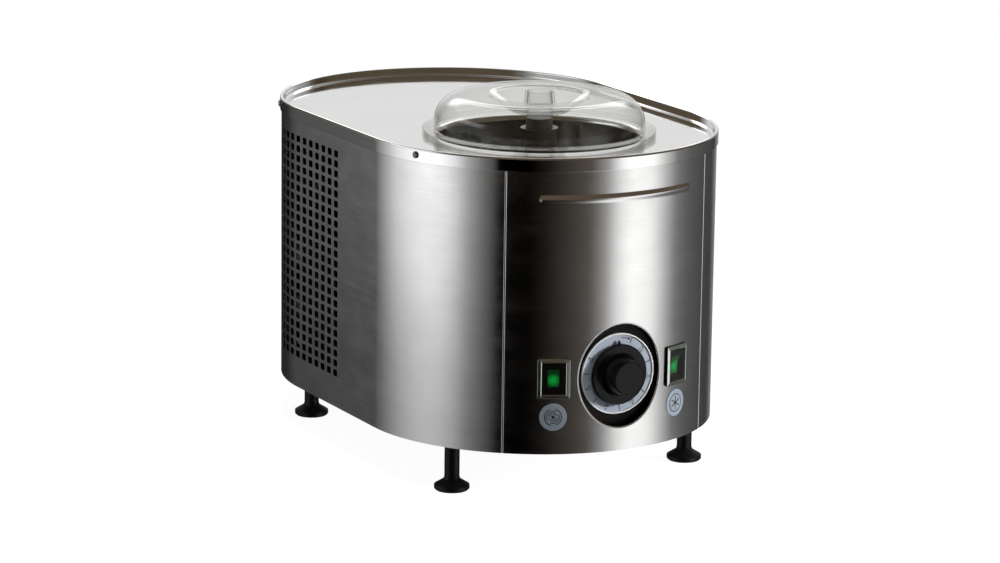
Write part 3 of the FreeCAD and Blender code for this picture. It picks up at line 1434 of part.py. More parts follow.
def suction_pipe():
    """From the bowl's coil back to the compressor."""
    return bent_pipe([
        (STUB_X, STUB_END, COIL_TOP),
        (STUB_X, SUCTION_Y, COIL_TOP),
        (STUB_X, SUCTION_Y, SUCTION_TOP),
    ], PIPE_RADIUS, 16.0)


def refrigerant_pipes():
    return Part.makeCompound([discharge_pipe(), liquid_pipe(), capillary_tube(), suction_pipe()])


# ---------------------------------------------------------------- mains inlet
INLET_Z = 78.0
INLET_W = 50.0
INLET_H = 28.0
INLET_BODY_W = 30.0
INLET_BODY_H = 22.0
SOCKET_W = 24.6
SOCKET_H = 17.0
SOCKET_DEPTH = 16.0


def inlet_box(width, height, y0, y1):
    """A block centred on the inlet's axis."""
    return box(-width / 2, width / 2, y0, y1, INLET_Z - height / 2, INLET_Z + height / 2)


def inlet_cutout():
    return inlet_box(INLET_BODY_W + 0.4, INLET_BODY_H + 0.4, 205, 240)


def power_inlet():
    """Three-pin appliance inlet, its flange shaped to the casing's curve."""
    flange = inlet_box(INLET_W, INLET_H, 216, REAR_REACH)
    flange = flange.cut(post(0, ARC_Y, SKIN_RADIUS, 0, RIM_TOP))
    body = inlet_box(INLET_BODY_W, INLET_BODY_H, 202, REAR_REACH - 1)
    socket = inlet_box(SOCKET_W, SOCKET_H, REAR_REACH - SOCKET_DEPTH, REAR_REACH + 1)
    for side in (-1, 1):
        key = box(-2.4, 2.4, 200, 240, -2.4, 2.4)
        key.rotate(vec(0, 0, 0), Y_AXIS, 45.0)
        key.translate(vec(side * SOCKET_W / 2, 0, INLET_Z + SOCKET_H / 2))
        socket = socket.cut(key)
    return fuse([flange, body]).cut([socket] + pin_blocks())


def pin_blocks():
    """Live, neutral and earth blades, standing in the socket."""
    back = REAR_REACH - SOCKET_DEPTH - 12
    pins = []
    for x, z in ((-7.0, -2.5), (7.0, -2.5), (0.0, 1.5)):
        pins.append(box(x - 1, x + 1, back, REAR_REACH - 2.5, INLET_Z + z - 2, INLET_Z + z + 2))
    return pins


def inlet_pins():
    return Part.makeCompound(pin_blocks())


# ---------------------------------------------------------------- write every sub-part
def write_all():
    save("top_tray", top_tray())
    save("tray_screws", tray_screws())
    save("side_casing", side_casing())
    save("front_panel", front_panel())
    save("base_plate", base_plate())
    for name, (x, y) in foot_places().items():
        save(name, foot(x, y))
    save("foot_nuts", foot_nuts())

    save("bowl", bowl())
    save("evaporator_coil", evaporator_coil())
    save("bowl_insulation", bowl_insulation())
    save("bowl_bush", bowl_bush())
    save("shaft_seal", shaft_seal())
    save("drive_spindle", drive_spindle())
    save("paddle_hub", paddle_hub())
    save("paddle_blades", paddle_blades())
    save("paddle_nut", paddle_nut())
    save("lid", lid())

    save("gearbox_housing", gearbox_housing())
    save("gearbox_cover", gearbox_cover())
    save("gearbox_screws", gearbox_screws())
    save("spindle_bearings", spindle_bearings())
    save("output_gear", output_gear())
    save("intermediate_gear", intermediate_gear())
    save("intermediate_shaft", intermediate_shaft())
    save("motor_pinion", motor_pinion())
    save("motor_rotor", motor_rotor())
    save("drive_motor", drive_motor())
    save("motor_end_cap", motor_end_cap())

    save("dial_bracket", dial_bracket())
    save("dial_plate", dial_plate())
    save("dial_ring", dial_ring())
    save("timer_body", timer_body())
    save("timer_shaft", timer_shaft())
    save("timer_knob", timer_knob())
    for side, angle in (("left", -SWITCH_ANGLE), ("right", SWITCH_ANGLE)):
        save(side + "_switch_body", on_front(switch_body(), angle, SWITCH_Z))
        save(side + "_switch_rocker", on_front(switch_rocker(), angle, SWITCH_Z))
        save(side + "_switch_lens", on_front(switch_lens(), angle, SWITCH_Z))
        save(side + "_switch_cover", on_front(switch_cover(), angle, SWITCH_Z))
        save(side + "_badge", badge(angle))

    save("compressor_shell", compressor_shell())
    save("compressor_grommets", compressor_grommets())
    save("start_relay", start_relay())
    save("run_capacitor", run_capacitor())
    save("condenser_fins", condenser_fins())
    save("condenser_tubes", condenser_tubes())
    save("fan_shroud", fan_shroud())
    save("fan_motor", fan_motor())
    save("fan_blade", fan_blade())
    save("filter_drier", filter_drier())
    save("refrigerant_pipes", refrigerant_pipes())
    save("power_inlet", power_inlet())
    save("inlet_pins", inlet_pins())


write_all()
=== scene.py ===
import math

import bpy
from mathutils import Matrix, Vector


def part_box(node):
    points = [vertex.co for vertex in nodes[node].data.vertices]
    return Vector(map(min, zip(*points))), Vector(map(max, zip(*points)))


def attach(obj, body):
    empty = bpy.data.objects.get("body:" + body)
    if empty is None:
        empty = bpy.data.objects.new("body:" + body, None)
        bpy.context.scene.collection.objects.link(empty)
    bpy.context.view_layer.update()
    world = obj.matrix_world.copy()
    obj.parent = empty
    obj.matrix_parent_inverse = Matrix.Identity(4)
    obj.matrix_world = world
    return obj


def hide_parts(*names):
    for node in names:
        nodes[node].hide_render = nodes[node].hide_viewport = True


# Looks for the countertop slush and ice-cream freezer. Metres, in the CAD frame: +Z up, front -Y.
# Lengths are written in millimetres times MM, so that they read like the part's own dimensions.

MM = 0.001

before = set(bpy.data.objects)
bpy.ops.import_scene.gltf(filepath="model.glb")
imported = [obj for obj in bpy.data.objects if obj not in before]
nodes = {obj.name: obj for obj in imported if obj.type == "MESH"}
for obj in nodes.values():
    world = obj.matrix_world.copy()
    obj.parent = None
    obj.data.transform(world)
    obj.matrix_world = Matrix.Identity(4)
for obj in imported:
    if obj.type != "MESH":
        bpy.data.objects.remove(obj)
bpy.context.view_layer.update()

# ---------------------------------------------------------------- sizes shared with the CAD part
SHIFT = 5.25 * MM
ARC_Y = 75.0 * MM
BODY_RADIUS = 150.0 * MM
SKIN_RADIUS = 148.8 * MM
SHEET = 0.8 * MM
CASING_BOTTOM = 41.0 * MM
CASING_TOP = 281.5 * MM
SEAM_ANGLE = math.radians(38.1)
SEAM_GAP = 0.6 * MM
RIM_TOP = 283.7 * MM
FLOOR_TOP = 276.8 * MM
BAND_BOTTOM = 272.5 * MM
BOWL_OPENING = 89.0 * MM
SWITCH_ANGLE = math.radians(22.4)
SWITCH_Z = 104.0 * MM
BADGE_Z = 72.0 * MM
DIAL_Z = 103.0 * MM


def middle(node):
    """Centre of a CAD node's box."""
    low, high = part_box(node)
    return (low + high) / 2


BOWL_CENTRE = middle("paddle_nut")
DIAL_FACE_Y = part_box("dial_plate")[0].y


# ---------------------------------------------------------------- mesh building
class Skin:
    """Faces with their own corner normals and texture coordinates, on welded points."""

    def __init__(self):
        self.points = []
        self.places = {}
        self.faces = []
        self.normals = []
        self.coords = []
        self.linings = []

    def point(self, place):
        key = tuple(round(value * 1e7) for value in place)
        if key not in self.places:
            self.places[key] = len(self.points)
            self.points.append(tuple(place))
        return self.places[key]

    def face(self, corners, lining=False):
        """corners: (place, normal, (u, v)) each. Equal neighbours are dropped and the winding follows the normals."""
        kept = []
        for place, normal, coord in corners:
            index = self.point(place)
            if kept and (kept[-1][0] == index or kept[0][0] == index):
                continue
            kept.append((index, normal, coord))
        if len(kept) < 3:
            return
        flat = Vector((0, 0, 0))
        first = Vector(self.points[kept[0][0]])
        for (b, _, _), (c, _, _) in zip(kept[1:], kept[2:]):
            flat += (Vector(self.points[b]) - first).cross(Vector(self.points[c]) - first)
        lean = sum((Vector(normal) for _, normal, _ in kept), Vector((0, 0, 0)))
        if flat.dot(lean) < 0:
            kept.reverse()
        self.faces.append([index for index, _, _ in kept])
        self.linings.append(int(lining))
        self.normals.extend(tuple(normal) for _, normal, _ in kept)
        self.coords.extend(coord for _, _, coord in kept)

    def build(self, name, *materials):
        """One object; faces added with lining=True take the second material."""
        mesh = bpy.data.meshes.new(name)
        mesh.from_pydata(self.points, [], self.faces)
        layer = mesh.uv_layers.new(name="surface")
        layer.data.foreach_set("uv", [value for coord in self.coords for value in coord])
        for polygon in mesh.polygons:
            polygon.use_smooth = True
        mesh.normals_split_custom_set(self.normals)
        for material in materials:
            mesh.materials.append(material)
        mesh.polygons.foreach_set("material_index", self.linings)
        made = bpy.data.objects.new(name, mesh)
        bpy.context.scene.collection.objects.link(made)
        return made


def rounded(corners, steps=6, closed=True):
    """Outline of (r, z, fillet) corners as runs of (r, z, normal r, normal z); the material is left of the travel."""
    count = len(corners)
    trims = []
    for index, (r, z, fillet) in enumerate(corners):
        here = Vector((r, z))
        before = Vector(corners[index - 1][:2])
        after = Vector(corners[(index + 1) % count][:2])
        into = (here - before).normalized()
        out = (after - here).normalized()
        if not closed and index in (0, count - 1):
            into = out = (after - here).normalized() if index == 0 else into
            fillet = 0.0
        turn = math.atan2(into.x * out.y - into.y * out.x, into.dot(out))
        if fillet <= 0 or abs(turn) < 1e-4:
            trims.append(([here], into, out))
            continue
        reach = fillet * math.tan(abs(turn) / 2)
        start = here - into * reach
        side = 1.0 if turn > 0 else -1.0
        centre = start + Vector((-into.y, into.x)) * fillet * side
        parts = max(2, round(abs(turn) / math.pi * 2 * steps))
        arc = []
        for part in range(parts + 1):
            angle = turn * part / parts
            spoke = start - centre
            arc.append(centre + Vector((spoke.x * math.cos(angle) - spoke.y * math.sin(angle),
                                        spoke.x * math.sin(angle) + spoke.y * math.cos(angle))))
        trims.append((arc, into, out))
    runs = []
    for index, (arc, into, out) in enumerate(trims):
        if len(arc) > 1:
            run = []
            for part, place in enumerate(arc):
                share = part / (len(arc) - 1)
                turn = math.atan2(into.x * out.y - into.y * out.x, into.dot(out)) * share
                along = Vector((into.x * math.cos(turn) - into.y * math.sin(turn),
                                into.x * math.sin(turn) + into.y * math.cos(turn)))
                run.append((place.x, place.y, along.y, -along.x))
            runs.append(run)
        if index == len(trims) - 1 and not closed:
            break
        start, end = arc[-1], trims[(index + 1) % len(trims)][0][0]
        if (end - start).length > 1e-9:
            runs.append([(start.x, start.y, out.y, -out.x), (end.x, end.y, out.y, -out.x)])
    return runs


def sweep(skin, runs, stations, closed=True):
    """Carry an outline along stations: (base x, base y, out x, out y, length along)."""
    pairs = list(zip(stations, stations[1:]))
    if closed:
        last, first = stations[-1], stations[0]
        pairs.append((last, first[:4] + (last[4] + 2 * (last[4] - stations[-2][4]) / 2,)))
    height = 0.0
    for run in runs:
        for (r0, z0, nr0, nz0), (r1, z1, nr1, nz1) in zip(run, run[1:]):
            step = math.hypot(r1 - r0, z1 - z0)
            for (ax, ay, ox, oy, s), (bx, by, px, py, t) in pairs:
                skin.face([
                    ((ax + r0 * ox, ay + r0 * oy, z0), (nr0 * ox, nr0 * oy, nz0), (s, height)),
                    ((bx + r0 * px, by + r0 * py, z0), (nr0 * px, nr0 * py, nz0), (t, height)),
                    ((bx + r1 * px, by + r1 * py, z1), (nr1 * px, nr1 * py, nz1), (t, height + step)),
                    ((ax + r1 * ox, ay + r1 * oy, z1), (nr1 * ox, nr1 * oy, nz1), (s, height + step)),
                ])
            height += step


def circle(x, y, reference, segments=128):
    """Stations round a vertical axis; the texture runs reference metres for each radian."""
    made = []
    for index in range(segments):
        angle = math.pi / 2 + 2 * math.pi * index / segments
        made.append((x, y, math.cos(angle), math.sin(angle), reference * 2 * math.pi * index / segments))
    return made


def lathe(name, corners, centre, material, segments=128, steps=6):
    """Turn a closed outline of (r, z, fillet) in millimetres about the vertical line through centre."""
    corners = [(r * MM, z * MM, fillet * MM) for r, z, fillet in corners]
    widest = max(corner[0] for corner in corners)
    skin = Skin()
    sweep(skin, rounded(corners, steps), circle(centre.x, centre.y, widest, segments))
    return skin.build(name, material)


def wear(piece, body, slot, *replaced):
    """Tie a finished piece to its CAD body and hide the CAD nodes it stands for; slot is not used."""
    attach(piece, body)
    if replaced:
        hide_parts(*replaced)
    return piece


def bevelled(name, outline, half_width, bevel, material):
    """A prism across x from a (y, z) outline in metres, with rounded edges."""
    count = len(outline)
    points = [(-half_width, y, z) for y, z in outline] + [(half_width, y, z) for y, z in outline]
    faces = [list(range(count)), list(range(2 * count - 1, count - 1, -1))]
    for index in range(count):
        after = (index + 1) % count
        faces.append([index, index + count, after + count, after])
    mesh = bpy.data.meshes.new(name)
    mesh.from_pydata(points, [], faces)
    layer = mesh.uv_layers.new(name="surface")
    for loop in mesh.loops:
        layer.data[loop.index].uv = mesh.vertices[loop.vertex_index].co.xz
    mesh.materials.append(material)
    piece = bpy.data.objects.new(name, mesh)
    bpy.context.scene.collection.objects.link(piece)
    edge = piece.modifiers.new("edge", "BEVEL")
    edge.width = bevel
    edge.segments = 3
    edge.harden_normals = True
    for polygon in mesh.polygons:
        polygon.use_smooth = True
    return piece


# ---------------------------------------------------------------- materials
class Shader:
    """Small helper for node-based materials."""

    def __init__(self, name):
        self.material = bpy.data.materials.new(name)
        self.material.use_nodes = True
        self.tree = self.material.node_tree
        self.surface = self.tree.nodes["Principled BSDF"]
        self.output = self.tree.nodes["Material Output"]

    def node(self, kind, **settings):
        made = self.tree.nodes.new("ShaderNode" + kind)
        for key, value in settings.items():
            setattr(made, key, value)
        return made

    def link(self, source, target):
        self.tree.links.new(source, target)

    def coords(self, scale, space="Object"):
        """Scaled coordinates: the piece's own space, or its surface coordinates in metres."""
        where = self.node("TexCoord")
        mapping = self.node("Mapping")
        mapping.inputs["Scale"].default_value = scale
        self.link(where.outputs[space], mapping.inputs["Vector"])
        return mapping.outputs["Vector"]

    def noise(self, scale, detail=3.0, space="Object", roughness=0.55):
        made = self.node("TexNoise")
        made.inputs["Scale"].default_value = 1.0
        made.inputs["Detail"].default_value = detail
        made.inputs["Roughness"].default_value = roughness
        self.link(self.coords(scale, space), made.inputs["Vector"])
        return made.outputs["Fac"]

    def span(self, value, low, high, from_low=0.3, from_high=0.7):
        """Map a value's useful range onto low..high."""
        made = self.node("MapRange")
        made.inputs["From Min"].default_value = from_low
        made.inputs["From Max"].default_value = from_high
        made.inputs["To Min"].default_value = low
        made.inputs["To Max"].default_value = high
        self.link(value, made.inputs["Value"])
        return made.outputs["Result"]

    def mix(self, share, first, second):
        made = self.node("Mix", data_type="RGBA")
        if isinstance(share, float):
            made.inputs["Factor"].default_value = share
        else:
            self.link(share, made.inputs["Factor"])
        made.inputs["A"].default_value = (*first, 1)
        made.inputs["B"].default_value = (*second, 1)
        return made.outputs["Result"]

    def bump(self, height, strength, distance):
        made = self.node("Bump")
        made.inputs["Strength"].default_value = strength
        made.inputs["Distance"].default_value = distance
        self.link(height, made.inputs["Height"])
        self.link(made.outputs["Normal"], self.surface.inputs["Normal"])

    def set(self, **values):
        for key, value in values.items():
            self.surface.inputs[key.replace("_", " ")].default_value = value


def metal(name, light, dark, rough, spread, grain, space="UV", bump=0.05):
    """Rolled or brushed metal: fine grain along u, cloudy roughness and faint tone changes."""
    make = Shader(name)
    make.set(Metallic=1.0)
    cloud = make.noise((18, 18, 18))
    make.link(make.mix(make.span(cloud, 0.0, 1.0), dark, light), make.surface.inputs["Base Color"])
    lines = make.noise(grain, 3.5, space, 0.75)
    smudge = make.noise((34, 34, 60), 4.0)
    total = make.node("Math", operation="ADD")
    make.link(make.span(lines, rough, rough + spread), total.inputs[0])
    make.link(make.span(smudge, -spread / 2, spread / 2), total.inputs[1])
    make.link(total.outputs[0], make.surface.inputs["Roughness"])
    make.bump(lines, bump, 0.02 * MM)
    return make.material


def plastic(name, light, dark, rough, spread, texture=900.0, bump=0.12, shine=1.46):
    """Moulded plastic or rubber: fine spark texture, with a worn, cloudy gloss."""
    make = Shader(name)
    cloud = make.noise((40, 40, 40))
    make.link(make.mix(make.span(cloud, 0.0, 1.0), dark, light), make.surface.inputs["Base Color"])
    make.link(make.span(make.noise((120, 120, 120), 4.0), rough, rough + spread), make.surface.inputs["Roughness"])
    make.bump(make.noise((texture, texture, texture), 2.0), bump, 0.05 * MM)
    make.set(IOR=shine)
    return make.material


def painted(name, light, dark, rough):
    """Stoved enamel with orange peel."""
    make = Shader(name)
    make.link(make.mix(make.span(make.noise((25, 25, 25)), 0.0, 1.0), dark, light), make.surface.inputs["Base Color"])
    make.link(make.span(make.noise((90, 90, 90), 3.0), rough, rough + 0.15), make.surface.inputs["Roughness"])
    make.bump(make.noise((420, 420, 420), 1.0), 0.08, 0.1 * MM)
    make.set(Coat_Weight=0.3, Coat_Roughness=0.15)
    return make.material


def clear(name, tint, edge, gloss, facing_gloss, depth=7.0):
    """Clear moulded plastic: see-through when faced and glossy at a glancing angle, where its see-through colour turns
    to the edge colour as painted shade in place of refraction; a low depth widens the painted shade.
    """
    make = Shader(name)
    make.set(Base_Color=(*gloss, 1), Metallic=1.0, Roughness=0.03)
    make.link(make.span(make.noise((60, 60, 60), 3.0), 0.02, 0.05), make.surface.inputs["Roughness"])
    make.bump(make.noise((24, 24, 24), 1.0), 0.05, 0.3 * MM)
    facing = make.node("LayerWeight")
    facing.inputs["Blend"].default_value = 0.5
    glance = make.node("Math", operation="POWER")
    glance.inputs[1].default_value = 5.0
    make.link(facing.outputs["Facing"], glance.inputs[0])
    share = make.node("Math", operation="MULTIPLY_ADD")
    share.inputs[1].default_value = 1.0 - facing_gloss
    share.inputs[2].default_value = facing_gloss
    make.link(glance.outputs[0], share.inputs[0])
    # Painted shade: towards glancing angles the see-through colour darkens to edge, standing in for refraction.
    refraction_shade = make.node("Math", operation="POWER")
    refraction_shade.inputs[1].default_value = depth
    make.link(facing.outputs["Facing"], refraction_shade.inputs[0])
    through = make.node("BsdfTransparent")
    make.link(make.mix(refraction_shade.outputs[0], tint, edge), through.inputs["Color"])
    blend = make.node("MixShader")
    make.link(share.outputs[0], blend.inputs["Fac"])
    make.link(through.outputs["BSDF"], blend.inputs[1])
    make.link(make.surface.outputs["BSDF"], blend.inputs[2])
    make.link(blend.outputs["Shader"], make.output.inputs["Surface"])
    return make.material


STEEL = metal("satin_steel", (0.76, 0.755, 0.75), (0.70, 0.695, 0.69), 0.15, 0.07, (9, 520, 1), bump=0.22)
EDGE_STEEL = metal("linished_edge", (0.95, 0.95, 0.94), (0.90, 0.90, 0.89), 0.42, 0.1, (300, 300, 300), "Object")
# Inner faces of the casing and front sheets: steel painted nearly black, painted shade for the dark inside seen through
# the vents and openings.
SHADED_INSIDE = metal("painted_shade_inside", (0.050, 0.048, 0.046), (0.030, 0.029, 0.028), 0.55, 0.2, (60, 60, 60), "Object")
TRAY_STEEL = metal("polished_steel", (0.80, 0.80, 0.79), (0.76, 0.76, 0.755), 0.06, 0.04, (20, 1500, 1), bump=0.03)
BOWL_STEEL = metal("bowl_steel", (0.72, 0.715, 0.70), (0.66, 0.655, 0.64), 0.13, 0.08, (14, 1800, 1), bump=0.08)
PLATE_STEEL = metal("galvanised_steel", (0.50, 0.51, 0.52), (0.36, 0.37, 0.38), 0.35, 0.2, (90, 90, 90), "Object")
TURNED_STEEL = metal("turned_steel", (0.60, 0.60, 0.60), (0.48, 0.48, 0.48), 0.22, 0.1, (40, 40, 2600), "Object")
CAST = metal("die_cast_alloy", (0.62, 0.63, 0.64), (0.50, 0.51, 0.52), 0.45, 0.15, (500, 500, 500), "Object", 0.2)
DARK_STEEL = metal("blackened_steel", (0.30, 0.29, 0.28), (0.20, 0.19, 0.185), 0.16, 0.08, (300, 300, 300), "Object")
COPPER = metal("drawn_copper", (0.78, 0.42, 0.27), (0.60, 0.28, 0.16), 0.25, 0.15, (70, 70, 70), "Object")
BRONZE = metal("sintered_bronze", (0.62, 0.46, 0.24), (0.48, 0.34, 0.17), 0.4, 0.1, (700, 700, 700), "Object", 0.2)
PLATED = metal("plated_brass", (0.78, 0.66, 0.36), (0.66, 0.54, 0.28), 0.2, 0.1, (200, 200, 200), "Object")
BLACK = plastic("black_moulding", (0.0060, 0.0052, 0.0050), (0.0040, 0.0034, 0.0033), 0.26, 0.12, 900, 0.1, 1.38)
KNOB_BLACK = plastic("knob_black", (0.0035, 0.0035, 0.0040), (0.0022, 0.0022, 0.0025), 0.20, 0.08, 1200, 0.02, 1.28)
GLOSS_BLACK = plastic("gloss_black", (0.0030, 0.0032, 0.0032), (0.0020, 0.0022, 0.0022), 0.12, 0.06, 700, 0.03)
RUBBER = plastic("foot_rubber", (0.0080, 0.0072, 0.0068), (0.0050, 0.0044, 0.0042), 0.34, 0.16, 800, 0.2, 1.32)
NYLON = plastic("gear_nylon", (0.86, 0.84, 0.76), (0.78, 0.75, 0.66), 0.4, 0.1)
WHITE = plastic("white_moulding", (0.85, 0.85, 0.83), (0.78, 0.78, 0.76), 0.35, 0.1)
FOAM = plastic("cut_foam", (0.88, 0.80, 0.56), (0.72, 0.62, 0.40), 0.9, 0.1, 320, 0.8)
ENAMEL = painted("black_enamel", (0.035, 0.035, 0.038), (0.020, 0.020, 0.022), 0.3)
HUB_BROWN = plastic("hub_moulding", (0.030, 0.024, 0.019), (0.022, 0.018, 0.014), 0.30, 0.12, 900, 0.1, 1.46)
DIAL_GREY = plastic("dial_print", (0.42, 0.47, 0.55), (0.38, 0.43, 0.51), 0.32, 0.1, 1500, 0.04)
DIAL_WHITE = plastic("ring_white", (0.90, 0.90, 0.90), (0.84, 0.84, 0.84), 0.12, 0.08, 1500, 0.02)
INK = plastic("print_ink", (0.010, 0.010, 0.014), (0.006, 0.006, 0.008), 0.45, 0.1, 1500, 0.05)
BADGE_GREY = plastic("badge_print", (0.30, 0.35, 0.40), (0.27, 0.32, 0.37), 0.35, 0.1, 1500, 0.04)
BADGE_INK = plastic("badge_ink", (0.045, 0.050, 0.058), (0.035, 0.040, 0.048), 0.45, 0.1, 1500, 0.04)
# The lid's and tube's edge colours are painted shade at their glancing edges, in place of refraction.
LID_CLEAR = clear("lid_clear", (0.990, 0.992, 0.986), (0.30, 0.31, 0.29), (0.98, 0.98, 0.97), 0.028)
TUBE_CLEAR = clear("tube_clear", (0.985, 0.988, 0.980), (0.10, 0.11, 0.10), (0.98, 0.98, 0.97), 0.05, 2.2)
# The switch covers' and panes' edge colours are painted shade, tinted green as painted green light from the lenses.
COVER_CLEAR = clear("cover_clear", (0.80, 0.92, 0.84), (0.20, 0.45, 0.30), (0.95, 0.99, 0.96), 0.55)
PANE_CLEAR = clear("pane_clear", (0.97, 0.98, 0.97), (0.40, 0.55, 0.45), (0.95, 0.97, 0.95), 0.05)


def lens_material():
    """Green lens, lit by a small lamp low behind its middle."""
    make = Shader("lens_green")
    make.set(Roughness=0.18, IOR=1.49, Coat_Weight=0.6, Coat_Roughness=0.05)
    make.link(make.mix(make.span(make.noise((260, 260, 260), 2.0), 0.0, 1.0), (0.0, 0.040, 0.010), (0.0, 0.070, 0.018)),
              make.surface.inputs["Base Color"])
    where = make.node("TexCoord")
    spot = make.node("VectorMath", operation="DISTANCE")
    make.link(where.outputs["UV"], spot.inputs[0])
    spot.inputs[1].default_value = (0.0, -1.5 * MM, 0.0)
    make.link(make.span(spot.outputs["Value"], 0.34, 0.02, 1.0 * MM, 6.0 * MM), make.surface.inputs["Emission Strength"])
    make.set(Emission_Color=(0.0, 0.85, 0.10, 1))
    return make.material


BRACKET_BLACK = plastic("bracket_black", (0.0040, 0.0030, 0.0026), (0.0025, 0.0020, 0.0018), 0.35, 0.15, 600, 0.05, 1.25)
GREEN = lens_material()


# ---------------------------------------------------------------- casing sheets
def skin_place(u, depth):
    """Plan place and outward direction on the casing, u metres along it from the right side's middle."""
    if u > ARC_Y:
        angle = (u - ARC_Y) / SKIN_RADIUS
        base = ARC_Y
    elif u < -ARC_Y:
        angle = (u + ARC_Y) / SKIN_RADIUS
        base = -ARC_Y
    else:
        angle = 0.0
        base = u
    out = (math.cos(angle), math.sin(angle))
    radius = SKIN_RADIUS - depth
    return (radius * out[0], base + SHIFT + radius * out[1]), out


VENT_ROWS = 23
VENT_COLUMNS = 12
VENT_ROW_PITCH = 8.5 * MM
VENT_COLUMN_PITCH = 12.3 * MM
VENT_FIRST_ROW = 70.3 * MM
VENT_HALF_WIDTH = 3.7 * MM
VENT_HALF_HEIGHT = 2.9 * MM
VENT_CORNER = 1.3 * MM
INLET_HALF_WIDTH = 15.2 * MM
INLET_LOW = 66.8 * MM
INLET_HIGH = 89.2 * MM


def vent_loops():
    """Offsets of one hole's edge and of its cell's edge, point for point."""
    hole, cell = [], []
    a, b, c = VENT_HALF_WIDTH, VENT_HALF_HEIGHT, VENT_CORNER
    wide, tall = VENT_COLUMN_PITCH / 2, VENT_ROW_PITCH / 2
    for quarter in range(4):
        sx = 1 if quarter in (0, 3) else -1
        sz = 1 if quarter in (0, 1) else -1
        arc = []
        for part in range(5):
            angle = math.pi / 2 * part / 4
            arc.append((a - c + c * math.cos(angle), b - c + c * math.sin(angle)))
        edge = [(wide, b - c), (wide, (b - c + tall) / 2), (wide, tall), ((a - c + wide) / 2, tall), (a - c, tall)]
        start, end = ((a, 0.0), (wide, 0.0)), ((0.0, b), (0.0, tall))
        chain = [start] + list(zip(arc, edge)) + [end]
        if quarter in (1, 3):
            chain.reverse()
        for inner, outer in chain[:-1]:
            hole.append((sx * inner[0], sz * inner[1]))
            cell.append((sx * outer[0], sz * outer[1]))
    return hole, cell


def casing_half(skin, side):
    """One half of the wrap-round sheet, from its seam to the middle of the rear."""
    def corner(u, z, depth, inward=False, normal=None):
        (x, y), out = skin_place(u, depth)
        if normal is None:
            turn = -1 if inward else 1
            normal = (turn * out[0], turn * out[1], 0)
        return ((side * x, y, z), (side * normal[0], normal[1], normal[2]), (u, z))

    def patch(u0, u1, z0, z1):
        for depth, inward in ((0.0, False), (SHEET, True)):
            skin.face([corner(u, z, depth, inward) for u, z in ((u0, z0), (u1, z0), (u1, z1), (u0, z1))], inward)

    hole, cell = vent_loops()
    columns = [column * VENT_COLUMN_PITCH for column in range(VENT_COLUMNS)]
    rows = [VENT_FIRST_ROW + row * VENT_ROW_PITCH for row in range(VENT_ROWS)]
    for along in columns:
        for z in rows:
            for index in range(len(hole)):
                after = (index + 1) % len(hole)
                h0, h1, c0, c1 = hole[index], hole[after], cell[index], cell[after]
                for depth, inward in ((0.0, False), (SHEET, True)):
                    skin.face([corner(along + u, z + dz, depth, inward) for u, dz in (h0, c0, c1, h1)], inward)
                _, out = skin_place(along + h0[0], 0.0)
                inwards = Vector((out[1] * h0[0], -out[0] * h0[0], -h0[1])).normalized()
                skin.face([corner(along + u, z + dz, depth, normal=inwards)
                           for u, dz, depth in ((*h0, 0.0), (*h1, 0.0), (*h1, SHEET), (*h0, SHEET))])

    offsets_u = sorted({round(u, 9) for u, z in cell})
    offsets_z = sorted({round(z, 9) for u, z in cell})
    block_u = sorted({round(along + u, 9) for along in columns for u in offsets_u})
    block_z = sorted({round(z + dz, 9) for z in rows for dz in offsets_z})
    rear_end = ARC_Y + math.pi / 2 * SKIN_RADIUS
    inlet_edge = rear_end - INLET_HALF_WIDTH
    front_end = -ARC_Y - SKIN_RADIUS * (math.pi / 2 - SEAM_ANGLE) + SEAM_GAP / 2
    ease = SHEET

    front_u = spaced(front_end + ease, -ARC_Y, 5.0 * MM) + spaced(-ARC_Y, block_u[0], 20.0 * MM)[1:]
    rear_u = spaced(block_u[-1], inlet_edge, 5.0 * MM) + spaced(inlet_edge, rear_end, 5.0 * MM)[1:]
    lines_z = sorted({CASING_BOTTOM, CASING_TOP, INLET_LOW, INLET_HIGH, *block_z})
    lines_z = [z for index, z in enumerate(lines_z) if index == 0 or z - lines_z[index - 1] > 1e-6]
    for u_lines in (front_u, rear_u):
        for u0, u1 in zip(u_lines, u_lines[1:]):
            for z0, z1 in zip(lines_z, lines_z[1:]):
                if u0 > inlet_edge - 1e-6 and INLET_LOW - 1e-6 < z0 and z1 < INLET_HIGH + 1e-6:
                    continue
                patch(u0, u1, z0, z1)
    for u0, u1 in zip(block_u, block_u[1:]):
        patch(u0, u1, CASING_BOTTOM, block_z[0])
        patch(u0, u1, block_z[-1], CASING_TOP)

    all_u = front_u + block_u[1:] + rear_u[1:]
    for u0, u1 in zip(all_u, all_u[1:]):
        for z, up in ((CASING_BOTTOM, -1), (CASING_TOP, 1)):
            skin.face([corner(u, z, depth, normal=(0, 0, up))
                       for u, depth in ((u0, 0.0), (u1, 0.0), (u1, SHEET), (u0, SHEET))])
    seam_edge(skin, corner, front_end, ease, lines_z, 1)


def spaced(start, end, step):
    """Evenly spaced values from start to end, about step apart."""
    parts = max(1, round(abs(end - start) / step))
    return [start + (end - start) * part / parts for part in range(parts + 1)]


